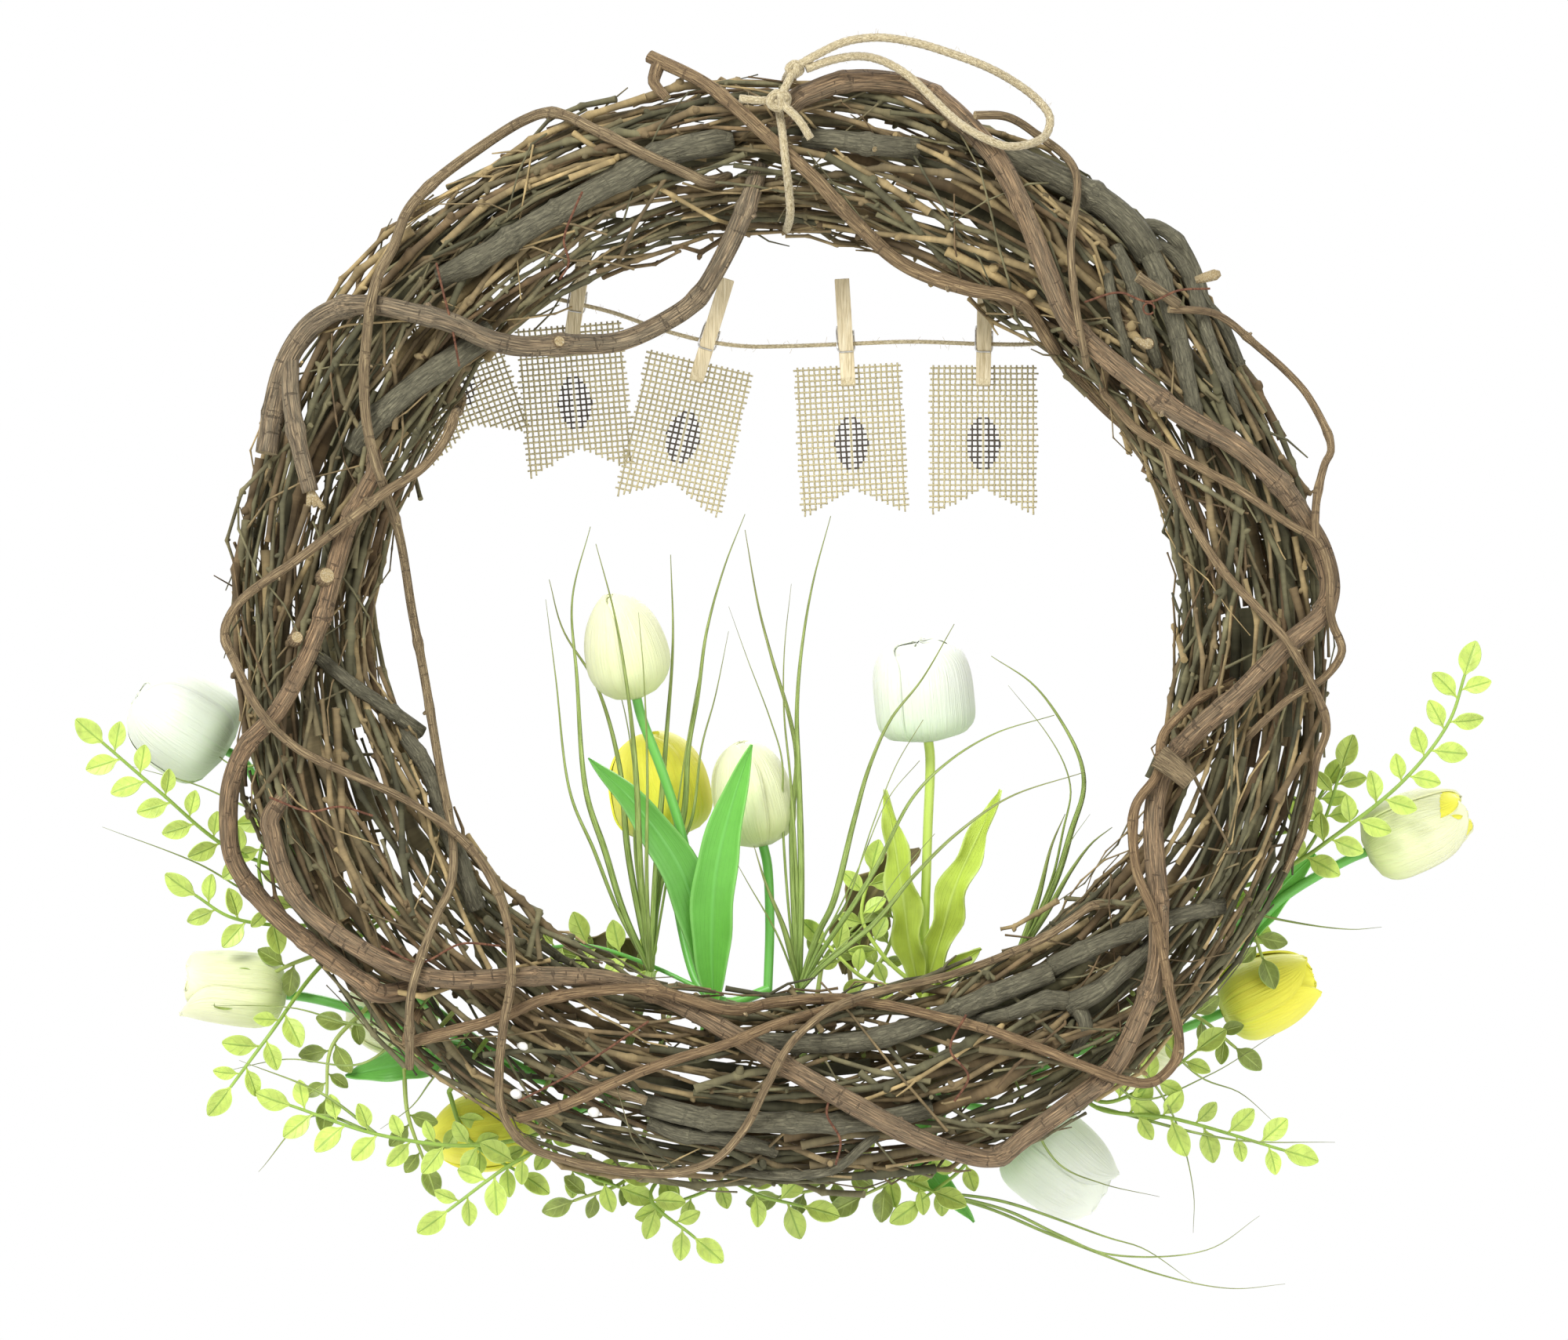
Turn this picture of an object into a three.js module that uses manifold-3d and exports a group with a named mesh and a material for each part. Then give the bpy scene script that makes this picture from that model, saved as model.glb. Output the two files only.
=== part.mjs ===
// Spring door wreath. A ring of brushwood is bound round with bare vines. A twine with burlap pennants
// on small clothes-pegs crosses the upper part of its hole, and artificial tulips, leafy sprays and
// grass stand along its lower front. It hangs by a jute loop tied round the top of the ring.
//
// Millimetres, Z up. The wreath is seen from its back, which faces -Y, with +X to the right.
// Everything is placed about the ring's centre, and the whole is then lowered so that the origin
// is the upper knot of the hanging loop.
import * as THREE from "three";
import { mergeVertices } from "three/addons/utils/BufferGeometryUtils.js";
import Module from "manifold-3d";

const wasm = await Module();
wasm.setup();

// Driving dimensions of the ring: inner and outer radius every 30 degrees from +X towards +Z
const RING_INNER = [177, 175, 170, 178, 177, 177, 183, 173, 170, 164, 170, 178];
const RING_OUTER = [235, 233, 236, 240, 241, 245, 241, 248, 251, 244, 247, 243];
const RING_DEPTH = 27;
const RING_PLUMP = 1.12;
const BUNDLES = 8;
const BUNDLE_GAP = 0.4;
const STRANDS = 10;
const LOOSE_TWIGS = 6;
const TWIG_RADIUS = 1.9;

// Driving dimensions of what lies on the ring
const CLEAR = 1.2;
const SLEEVE = 0.35;
const LAY_STEP = 5;
const LAY_SLOPE = 0.45;
const TUCK_LENGTH = 13;
const TUCK_DEPTH = 9;
const JUTE_RADIUS = 1.9;
const TWINE_RADIUS = 0.95;
const CORD_SIDES = 8;
const LOOP_STEP = 11;
const TWINE_STEP = 14;

// Driving dimensions of the garland
const GARLAND_DEPTH = 36;
const FLAG_WIDTH = 47;
const FLAG_LENGTH = 67;
const FLAG_NOTCH = 12;
const FLAG_THICK = 1;
const PEG_LENGTH = 48;
const PEG_WIDTH = 6.5;
const PEG_HALF_THICK = 3.1;
const PEG_GAP = 0.8;
const PEG_TAPER = 1.6;
const PEG_PIVOT = 25;
const PEG_COIL = 2;
const PEG_NOTCH = 18.5;
const PEG_NOTCH_WIDTH = 5;
const PEG_GRIP = 9.5;

// Driving dimensions of the flowers and leaves
const TULIP_LENGTH = 46;
const TULIP_RADIUS = 20;
const STEM_RADIUS = 2.2;
const LEAF_THICK = 0.9;
const LEAFLET_LENGTH = 13.5;
const LEAFLET_WIDTH = 8.5;
const LEAFLET_THICK = 0.8;
const LEAFLET_ROOT = 0.45;
const LEAFLET_LEAN = 58;
const LEAFLET_PITCH = 15;
const LEAFLET_STAGGER = 2;
const SPRIG_RADIUS = 1;
const GRASS_RADIUS = 0.9;
const GRASS_FORWARD = 1.7;
const TUFT_FOOT = [3.6, 2.7, 5];
const ROOT_END = 8;

const DEGREE = Math.PI / 180;

const finish = (color, roughness) => new THREE.MeshStandardMaterial({ color, roughness, metalness: 0 });
const BRUSHWOOD = finish(0x4a4334, 0.9);
const VINE_RED = finish(0x7a5a46, 0.85);
const VINE_TAN = finish(0x94795a, 0.85);
const JUTE = finish(0xb09a72, 0.95);
const BURLAP = finish(0xc9bb98, 0.95);
const PEG_WOOD = finish(0xcdb48a, 0.7);
const PETAL_WHITE = finish(0xf2f4ea, 0.6);
const PETAL_CREAM = finish(0xf1f2cf, 0.6);
const PETAL_YELLOW = finish(0xe9e23f, 0.6);
const STEM_GREEN = finish(0x3f9a45, 0.55);
const STEM_LIME = finish(0x9ccb4d, 0.55);
const LEAFLET_LIME = finish(0x93c248, 0.6);
const GRASS_OLIVE = finish(0x7f9450, 0.7);
const DRIED_BROWN = finish(0x6b5233, 0.9);

const wreath = new THREE.Group();

// A repeatable stream of numbers from 0 to 1
function drawFrom(seed) {
  let state = seed >>> 0;
  return () => {
    state = (state + 0x6d2b79f5) >>> 0;
    let mixed = Math.imul(state ^ (state >>> 15), 1 | state);
    mixed = (mixed + Math.imul(mixed ^ (mixed >>> 7), 61 | mixed)) ^ mixed;
    return ((mixed ^ (mixed >>> 14)) >>> 0) / 4294967296;
  };
}

const between = (low, high, share) => low + (high - low) * share;

// Closed geometry to solid and back
function solidOf(geometry) {
  const bare = geometry.clone();
  bare.deleteAttribute("normal");
  bare.deleteAttribute("uv");
  const closed = mergeVertices(bare, 1e-4);
  return new wasm.Manifold(new wasm.Mesh({
    numProp: 3,
    vertProperties: new Float32Array(closed.attributes.position.array),
    triVerts: new Uint32Array(closed.index.array),
  }));
}

function geometryOf(solid) {
  const mesh = solid.getMesh();
  const geometry = new THREE.BufferGeometry();
  geometry.setAttribute("position", new THREE.BufferAttribute(mesh.vertProperties, 3));
  geometry.setIndex(new THREE.BufferAttribute(mesh.triVerts, 1));
  return geometry;
}

// Joins solids and keeps the one large body, so that sealed hollows and loose scraps go
function fuse(solids) {
  let whole = solids[0];
  for (const next of solids.slice(1)) whole = whole.add(next);
  const bodies = whole.decompose();
  bodies.sort((a, b) => b.volume() - a.volume());
  return bodies[0];
}

function addNode(name, solid, material) {
  const mesh = new THREE.Mesh(geometryOf(solid), material);
  mesh.name = name;
  wreath.add(mesh);
}

// A closed tapered stem along a list of points
function stalk(route, startRadius, endRadius, sides, stepLength) {
  const curve = new THREE.CatmullRomCurve3(route, false, "centripetal");
  const steps = Math.max(2, Math.round(curve.getLength() / stepLength));
  const centres = curve.getSpacedPoints(steps);
  const frames = curve.computeFrenetFrames(steps, false);
  const shape = new THREE.CylinderGeometry(1, 1, 1, sides, steps);
  const position = shape.attributes.position;
  for (let i = 0; i < position.count; i += 1) {
    const share = position.getY(i) + 0.5;
    const ring = Math.round(share * steps);
    const radius = between(startRadius, endRadius, share);
    const place = centres[ring].clone();
    place.addScaledVector(frames.binormals[ring], position.getX(i) * radius);
    place.addScaledVector(frames.normals[ring], position.getZ(i) * radius);
    position.setXYZ(i, place.x, place.y, place.z);
  }
  return solidOf(shape);
}

// Room that is cut in the brushwood round whatever is sunk into it
const sleeves = [];

function makeRoom(route, startRadius, endRadius, sides, stepLength) {
  const first = route[0];
  const last = route[route.length - 1];
  const before = first.clone().sub(route[1]).setLength(SLEEVE).add(first);
  const after = last.clone().sub(route[route.length - 2]).setLength(SLEEVE).add(last);
  const longer = [before, ...route.slice(1, -1), after];
  sleeves.push(stalk(longer, startRadius + SLEEVE, endRadius + SLEEVE, sides, stepLength));
}

// The foot of a plant, pushed in among the twigs
function root(route, radius = STEM_RADIUS) {
  const points = route.map(triple);
  makeRoom(points, radius, radius, 4, 30);
  return stalk(points, radius, radius, 4, 30);
}

// A cord of even thickness along a list of points
function cord(route, radius, stepLength) {
  const curve = new THREE.CatmullRomCurve3(route, false, "centripetal");
  const section = new THREE.Shape();
  section.absarc(0, 0, radius, 0, 2 * Math.PI);
  return solidOf(new THREE.ExtrudeGeometry(section, {
    curveSegments: CORD_SIDES / 2,
    steps: Math.round(curve.getLength() / stepLength),
    bevelEnabled: false,
    extrudePath: curve,
  }));
}

// A thin closed sheet over pointAt(across from -1 to 1, along from 0 to 1), split alike on both faces
function sheet(pointAt, columns, rows, thick) {
  const STEP = 1e-3;
  const upper = [];
  const lower = [];
  for (let i = 0; i <= rows; i += 1) {
    for (let j = 0; j <= columns; j += 1) {
      const across = (j / columns) * 2 - 1;
      const along = i / rows;
      const place = pointAt(across, along);
      const sideways = pointAt(across + STEP, along).sub(pointAt(across - STEP, along));
      const onward = pointAt(across, Math.min(1, along + STEP)).sub(pointAt(across, Math.max(0, along - STEP)));
      const normal = sideways.cross(onward).normalize().multiplyScalar(thick / 2);
      upper.push(place.clone().add(normal));
      lower.push(place.clone().sub(normal));
    }
  }
  const wide = columns + 1;
  const under = upper.length;
  const index = [];
  for (let i = 0; i < rows; i += 1) {
    for (let j = 0; j < columns; j += 1) {
      const a = i * wide + j;
      const b = a + 1;
      const c = a + wide + 1;
      const d = a + wide;
      index.push(a, b, c, a, c, d, under + a, under + c, under + b, under + a, under + d, under + c);
    }
    const left = i * wide;
    const right = left + columns;
    index.push(left, left + wide, under + left, left + wide, under + left + wide, under + left);
    index.push(right, under + right, right + wide, right + wide, under + right, under + right + wide);
  }
  for (let j = 0; j < columns; j += 1) {
    const end = rows * wide + j;
    index.push(j, under + j, j + 1, j + 1, under + j, under + j + 1);
    index.push(end, end + 1, under + end, end + 1, under + end + 1, under + end);
  }
  const geometry = new THREE.BufferGeometry();
  const flat = [...upper, ...lower].flatMap((p) => [p.x, p.y, p.z]);
  geometry.setAttribute("position", new THREE.Float32BufferAttribute(flat, 3));
  geometry.setIndex(index);
  return solidOf(geometry);
}

// A leaf along a spine, with its half width and edge wave given by its length
function leaf(route, halfWidth, facing, { columns = 2, rows = 6, cup = 0, wave = 0, thick = LEAF_THICK }) {
  const spine = new THREE.CatmullRomCurve3(route, false, "centripetal");
  const pointAt = (across, along) => {
    const place = spine.getPointAt(along);
    const onward = spine.getTangentAt(along);
    const sideways = onward.clone().cross(facing).normalize();
    const normal = sideways.clone().cross(onward).normalize();
    const reach = halfWidth(along);
    place.addScaledVector(sideways, across * reach);
    place.addScaledVector(normal, across * across * cup * reach);
    place.addScaledVector(normal, across * Math.sin(along * 17) * wave);
    return place;
  };
  return sheet(pointAt, columns, rows, thick);
}

const oval = (width, blunt) => (along) => Math.max(0.35, width * Math.sin(Math.PI * along ** blunt) ** 0.75);

// The ring's section at an angle, in degrees
function around(values, degrees) {
  const place = ((((degrees / 360) * values.length) % values.length) + values.length) % values.length;
  const first = Math.floor(place);
  const share = place - first;
  const ease = share * share * (3 - 2 * share);
  return between(values[first], values[(first + 1) % values.length], ease);
}

function sectionAt(degrees) {
  const inner = around(RING_INNER, degrees);
  const outer = around(RING_OUTER, degrees);
  return { middle: (inner + outer) / 2, half: (outer - inner) / 2 };
}

// A point in the ring: across from -1 at the hole to 1 outside, depth from -1 at the back to 1 in front.
// The ring is a little plumper across than it is deep.
function inRing(degrees, across, depth) {
  const { middle, half } = sectionAt(degrees);
  const radius = middle + across * half * RING_PLUMP;
  return new THREE.Vector3(
    radius * Math.cos(degrees * DEGREE),
    depth * RING_DEPTH,
    radius * Math.sin(degrees * DEGREE),
  );
}

// One bundle of brushwood: a twisted core with its strands raised, and loose twigs and a thick
// branch sunk into its face
const CORE = 0.66;
const STRAND_RISE = 0.14;
const TWIG_LEVELS = [0.8, 0.94];
const TWIG_TWIST = [-24, 32];
const BUNDLE_ROWS = 3;
const BRANCHES = [
  { start: 0.35, end: 0.62, radius: 5.5 },
  { start: 0.62, end: 0.4, radius: 7.5 },
  { start: -0.45, end: 0.1, radius: 7 },
  { start: 0.1, end: -0.1, radius: 7.5 },
  { start: 0.3, end: -0.3, radius: 5 },
  { start: -0.35, end: -0.1, radius: 5.5 },
  { start: 0.25, end: 0.45, radius: 7 },
  { start: -0.4, end: 0.2, radius: 6 },
];

function bundleCore(from, to, draw) {
  const points = STRANDS * 2;
  const twist = between(12, 28, draw());
  const rises = Array.from({ length: STRANDS }, () => between(0.35, 1, draw()));
  const shape = new THREE.CylinderGeometry(1, 1, 1, points, BUNDLE_ROWS);
  const position = shape.attributes.position;
  for (let i = 0; i < position.count; i += 1) {
    const share = position.getY(i) + 0.5;
    const degrees = between(from, to, share);
    const flatX = position.getX(i);
    const flatZ = position.getZ(i);
    if (Math.hypot(flatX, flatZ) < 0.01) {
      const centre = inRing(degrees, 0, 0);
      position.setXYZ(i, centre.x, centre.y, centre.z);
    } else {
      const turn = Math.atan2(flatX, flatZ);
      const order = Math.round((turn / (2 * Math.PI)) * points + points) % points;
      const rise = order % 2 === 0 ? STRAND_RISE * rises[order / 2] : 0;
      const size = CORE + rise;
      const turned = turn + twist * share * DEGREE;
      const place = inRing(degrees, size * Math.cos(turned), size * Math.sin(turned));
      position.setXYZ(i, place.x, place.y, place.z);
    }
  }
  return solidOf(shape);
}

// A loose twig springs from the core, runs clear of it at one of two levels and dips back in. The two
// levels twist opposite ways, so that they cross.
function looseTwig(from, to, number, draw) {
  const level = number % TWIG_LEVELS.length;
  const turn = (number * 360) / LOOSE_TWIGS + between(-20, 20, draw());
  const twist = TWIG_TWIST[level] * between(0.7, 1.2, draw());
  const route = [0, 0.15, 0.5, 0.85, 1].map((share) => {
    const turned = (turn + twist * (share - 0.5)) * DEGREE;
    const size = share === 0 || share === 1 ? CORE - 0.02 : TWIG_LEVELS[level];
    return inRing(between(from, to, share), size * Math.cos(turned), size * Math.sin(turned));
  });
  const radius = TWIG_RADIUS * between(0.8, 1, draw());
  return stalk(route, radius, radius * 0.8, 3, 36);
}

function thickBranch(from, to, branch) {
  const sunk = 1 - branch.radius / RING_DEPTH;
  const route = [0, 0.33, 0.67, 1].map((share) => {
    const across = between(branch.start, branch.end, share);
    const depth = -Math.sqrt(Math.max(0, sunk * sunk - across * across));
    return inRing(between(from, to, share), across, depth);
  });
  return stalk(route, branch.radius * 1.05, branch.radius * 0.85, 5, 50);
}

function bundle(order) {
  const draw = drawFrom(101 + order);
  const span = 360 / BUNDLES;
  const from = order * span;
  const to = from + span;
  const solids = [bundleCore(from, to, draw), thickBranch(from, to, BRANCHES[order])];
  for (let i = 0; i < LOOSE_TWIGS; i += 1) solids.push(looseTwig(from, to, i, draw));
  const [start, end] = [from * DEGREE, to * DEGREE];
  return fuse(solids)
    .trimByPlane([-Math.sin(start), 0, Math.cos(start)], BUNDLE_GAP / 2)
    .trimByPlane([Math.sin(end), 0, -Math.cos(end)], BUNDLE_GAP / 2);
}

// Vines rest on the ring and on the vines laid before them. A route is a list of x, z and the side it
// lies on: -1 on the back, which is meant where none is given, 1 on the front.
const laid = [];

function restDepth(x, z, radius) {
  const { middle, half } = sectionAt(Math.atan2(z, x) / DEGREE);
  const reach = half + radius + CLEAR;
  const offset = Math.hypot(x, z) - middle;
  const left = 1 - (offset / reach) ** 2;
  return left > 0 ? (RING_DEPTH + radius + CLEAR) * Math.sqrt(left) : 0;
}

function lay(route, radius, below = laid) {
  const plan = new THREE.CatmullRomCurve3(
    route.map(([x, z, side = -1]) => new THREE.Vector3(x, side, z)), false, "centripetal");
  const steps = Math.ceil(plan.getLength() / LAY_STEP);
  const points = plan.getSpacedPoints(steps);
  const sides = points.map((p) => Math.max(-1, Math.min(1, p.y)));
  const wanted = points.map((p, i) => {
    let depth = Math.abs(sides[i]) * restDepth(p.x, p.z, radius);
    for (const other of below) {
      const apart = Math.hypot(p.x - other.x, p.z - other.z);
      const need = radius + other.radius + CLEAR;
      if (apart < need && Math.sign(other.y) === Math.sign(sides[i])) {
        depth = Math.max(depth, Math.abs(other.y) + Math.sqrt(need * need - apart * apart));
      }
    }
    return depth;
  });
  const drop = LAY_SLOPE * LAY_STEP;
  for (let i = 1; i <= steps; i += 1) wanted[i] = Math.max(wanted[i], wanted[i - 1] - drop);
  for (let i = steps - 1; i >= 0; i -= 1) wanted[i] = Math.max(wanted[i], wanted[i + 1] - drop);
  const depths = [...wanted];
  for (let turn = 0; turn < 4; turn += 1) {
    for (let i = 1; i < steps; i += 1) {
      depths[i] = Math.max(wanted[i], (depths[i - 1] + depths[i + 1]) / 2);
    }
  }
  points.forEach((p, i) => {
    p.y = (sides[i] < 0 ? -1 : 1) * depths[i];
  });
  return points;
}

// The vines in the order in which they lie, lowest first. Each has one or more stems.
const VINES = [
  {
    name: "vine_long_red",
    material: VINE_RED,
    stems: [
      {
        radius: [5, 4.2],
        tuck: "start end",
        route: [
          [6, 233], [24, 240], [44, 241], [63, 236], [88, 213], [97, 200], [107, 178], [116, 154], [125, 134],
          [136, 123], [154, 108], [176, 92], [198, 79], [216, 63], [227, 48], [235, 35], [239, 17], [235, 6],
          [220, -7], [198, -29], [182, -43], [167, -60], [162, -76], [161, -91], [163, -129], [162, -151],
          [154, -173], [143, -193], [123, -210], [105, -224], [92, -233], [74, -230], [54, -222], [17, -201],
          [-16, -182], [-53, -162], [-75, -155], [-104, -152], [-148, -153], [-170, -148], [-206, -126],
          [-217, -113], [-223, -98], [-226, -84],
        ],
      },
    ],
  },
  {
    name: "vine_left",
    material: VINE_RED,
    stems: [
      {
        radius: [3.8, 4.4],
        tuck: "start end",
        route: [
          [-180, 68], [-192, 44], [-199, 21], [-203, 6], [-211, -16], [-223, -38], [-236, -52], [-243, -67],
          [-245, -84], [-243, -102], [-230, -121], [-214, -136], [-197, -148], [-179, -160],
        ],
      },
    ],
  },
  {
    name: "vine_big_loop",
    material: VINE_RED,
    stems: [
      {
        radius: [4.2, 5],
        tuck: "start",
        route: [
          [-16, 186], [-19, 179], [-25, 167], [-38, 147], [-53, 136], [-73, 127], [-95, 125], [-115, 124], [-130, 127],
          [-148, 135], [-164, 139], [-181, 142], [-194, 141], [-206, 135], [-214, 127], [-221, 114], [-225, 97],
          [-228, 77],
        ],
      },
      { radius: [4, 3.6], joins: "start", route: [[-218, 121], [-217, 101], [-213, 80], [-208, 60]] },
    ],
  },
  {
    name: "vine_top",
    material: VINE_TAN,
    stems: [
      {
        radius: [3, 3.6],
        tuck: "end",
        route: [
          [-60, 252], [-34, 238], [-6, 213], [13, 196], [27, 181], [51, 160], [79, 149], [103, 143, -0.7],
          [119, 122, 0], [141, 99, 0.8], [168, 76, 1], [197, 46, 1], [213, 15, 1], [214, -20, 1], [205, -55, 1],
        ],
      },
      { radius: [2, 3], joins: "end", route: [[-52, 233], [-58, 241], [-55, 250]] },
    ],
  },
  {
    name: "vine_bottom_tan",
    material: VINE_TAN,
    stems: [
      {
        radius: [2.6, 2.2],
        tuck: "start end",
        route: [
          [-166, -182], [-148, -177], [-126, -171], [-107, -163], [-85, -159], [-60, -158], [-23, -167],
          [-6, -164], [20, -162], [40, -164], [65, -169], [88, -175], [110, -183], [132, -192], [149, -198],
          [161, -199], [171, -190], [173, -182], [169, -160], [161, -124], [154, -107], [152, -84], [154, -76],
          [163, -63], [165, -47], [180, -31],
        ],
      },
      {
        radius: [2.6, 2.3],
        joins: "end",
        route: [[-117, -215], [-99, -210], [-72, -198], [-51, -190], [-26, -182], [-6, -174], [15, -168], [34, -163]],
      },
    ],
  },
  {
    name: "vine_left_tan",
    material: VINE_TAN,
    stems: [
      {
        radius: [2.6, 1.9],
        tuck: "start",
        route: [
          [-36, 196], [-60, 207], [-82, 218], [-102, 227], [-115, 224], [-139, 209], [-155, 196],
          [-166, 183], [-172, 167], [-179, 152], [-184, 119], [-184, 97], [-181, 79], [-170, 44], [-164, 6],
          [-160, -16], [-153, -58], [-146, -95], [-147, -113], [-153, -126], [-164, -160], [-165, -193],
        ],
      },
    ],
  },
  {
    name: "vine_low_tan",
    material: VINE_TAN,
    stems: [
      {
        radius: [2.2, 1.8],
        tuck: "start end",
        route: [
          [-143, 103, 0.2], [-148, 85, -0.3], [-159, 70, -1], [-175, 59], [-192, 46], [-214, 30], [-236, 15],
          [-243, 7], [-246, -2], [-241, -15], [-230, -36], [-214, -52], [-192, -63], [-170, -73], [-148, -87],
          [-135, -100], [-126, -116], [-121, -133], [-120, -155], [-123, -173], [-125, -195], [-124, -212],
          [-115, -226], [-97, -234], [-71, -239], [-49, -239], [-31, -233], [-18, -219], [-9, -201], [1, -183],
          [14, -171], [32, -162], [73, -152], [113, -136], [134, -122],
        ],
      },
    ],
  },
  {
    name: "vine_right_thin",
    material: VINE_TAN,
    stems: [
      {
        radius: [2, 1.8],
        tuck: "start end",
        route: [
          [140, 104], [154, 88], [176, 74], [198, 61], [220, 46], [233, 38], [238, 25], [239, 4], [244, -10],
          [236, -22], [222, -30], [208, -42],
        ],
      },
      {
        radius: [2.2, 1.8],
        joins: "start",
        route: [
          [166, 81], [171, 62], [180, 44], [193, 24], [211, 4], [222, -11], [237, -43], [233, -58], [231, -76],
          [227, -91], [220, -107],
        ],
      },
      {
        radius: [1.8, 1.8],
        joins: "end",
        route: [
          [168, 140], [189, 138], [207, 125], [222, 112], [231, 101], [240, 79], [237, 72], [233, 55], [232, 39],
        ],
      },
    ],
  },
];

const vineSides = (radius) => (radius > 3 ? 5 : 4);
const vineStep = (radius) => (radius > 3 ? 15 : 16);

// The point of a laid stem that is nearest to a place
function nearestOn(points, place) {
  const apart = (p) => Math.hypot(p.x - place.x, p.z - place.z);
  return points.reduce((best, p) => (apart(p) < apart(best) ? p : best)).clone();
}

// A tucked end dives among the twigs: this is where it gets to, past an end point that comes from another
function tucked(end, from) {
  const onward = end.clone().sub(from).setLength(TUCK_LENGTH).add(end);
  const radius = Math.hypot(onward.x, onward.z);
  const { middle } = sectionAt(Math.atan2(onward.z, onward.x) / DEGREE);
  const pulled = between(radius, middle, 0.5) / radius;
  return new THREE.Vector3(onward.x * pulled, Math.sign(end.y) * TUCK_DEPTH, onward.z * pulled);
}

// The first stem of a vine carries the others, which join it at the end that they name
function vine({ name, material, stems }) {
  const below = [...laid];
  const solids = [];
  let carrier = null;
  for (const { radius: [start, end], route, joins, tuck = "" } of stems) {
    const size = Math.max(start, end);
    const points = lay(route, size, below);
    if (joins === "start") points[0] = nearestOn(carrier, points[0]);
    if (joins === "end") points[points.length - 1] = nearestOn(carrier, points[points.length - 1]);
    carrier = carrier ?? [...points];
    for (const p of points) laid.push({ x: p.x, y: p.y, z: p.z, radius: size });
    if (tuck.includes("start")) points.unshift(tucked(points[0], points[2]));
    if (tuck.includes("end")) points.push(tucked(points[points.length - 1], points[points.length - 3]));
    makeRoom(points, start, end, vineSides(start), vineStep(start));
    solids.push(stalk(points, start, end, vineSides(start), vineStep(start)));
  }
  addNode(name, fuse(solids), material);
}

// Hanging loop: one jute cord with both ends in its knots
const LOOP_ROUTE = [
  [6, -30, 247], [15, -30, 252], [26, -29, 257], [40, -28, 259], [56, -27, 257], [73, -26, 252], [89, -24, 246],
  [102, -20, 239], [111, -18, 232], [116, -18, 225], [115, -20, 218], [109, -28, 213], [97, -34, 211],
  [88, -35, 214], [79, -34, 219], [72, -27, 225], [65, -24, 232], [57, -22, 240], [49, -21, 246], [40, -22, 250],
  [31, -25, 251], [20, -28, 249], [9, -30, 245],
];
const WRAP_ROUTE = [[-4, 233], [-2, 222], [0, 204], [2, 186], [2, 178]];
const UPPER_KNOT = new THREE.Vector3(4, -30, 245);
const MAIN_KNOT = new THREE.Vector3(-3, -35, 231);

const triple = ([x, y, z]) => new THREE.Vector3(x, y, z);

function knot(centre, size) {
  const shape = new THREE.SphereGeometry(1, 7, 5);
  shape.scale(size[0], size[1], size[2]);
  shape.translate(centre.x, centre.y, centre.z);
  return solidOf(shape);
}

// Garland: burlap pennants held by clothes-pegs on a twine. A peg has its jaw end's x and z and its lean.
const TWINE_ROUTE = [
  [-188, 8, 136], [-188, 20, 141], [-180, 31, 147], [-169, 36, 151], [-161, 36, 153], [-143, 36, 155], [-115, 36, 150], [-93, 36, 145],
  [-77, 36, 141], [-60, 36, 135], [-47, 36, 131], [-34, 36, 128], [-18, 36, 126], [0, 36, 126], [27, 36, 127],
  [56, 36, 128], [88, 36, 127], [110, 36, 127], [135, 36, 130], [160, 35, 137],
  [174, 30, 139], [181, 20, 139], [179, 8, 135],
];
const PEGS = [
  { jaw: [-154.5, 134.5], lean: 19, flagLean: 19, bend: 11, name: "1" },
  { jaw: [-96, 126], lean: -9, flagLean: 5, bend: 1, name: "2" },
  { jaw: [-40, 110], lean: -17, flagLean: -13, bend: -6, name: "3" },
  { jaw: [28, 108], lean: 3.5, flagLean: 3, bend: 3, name: "4" },
  { jaw: [88, 108], lean: -1, flagLean: 0, bend: -2, name: "5" },
];

function place(solid, [x, z], lean) {
  return solid.rotate([0, -lean, 0]).translate([x, GARLAND_DEPTH, z]);
}

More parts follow.
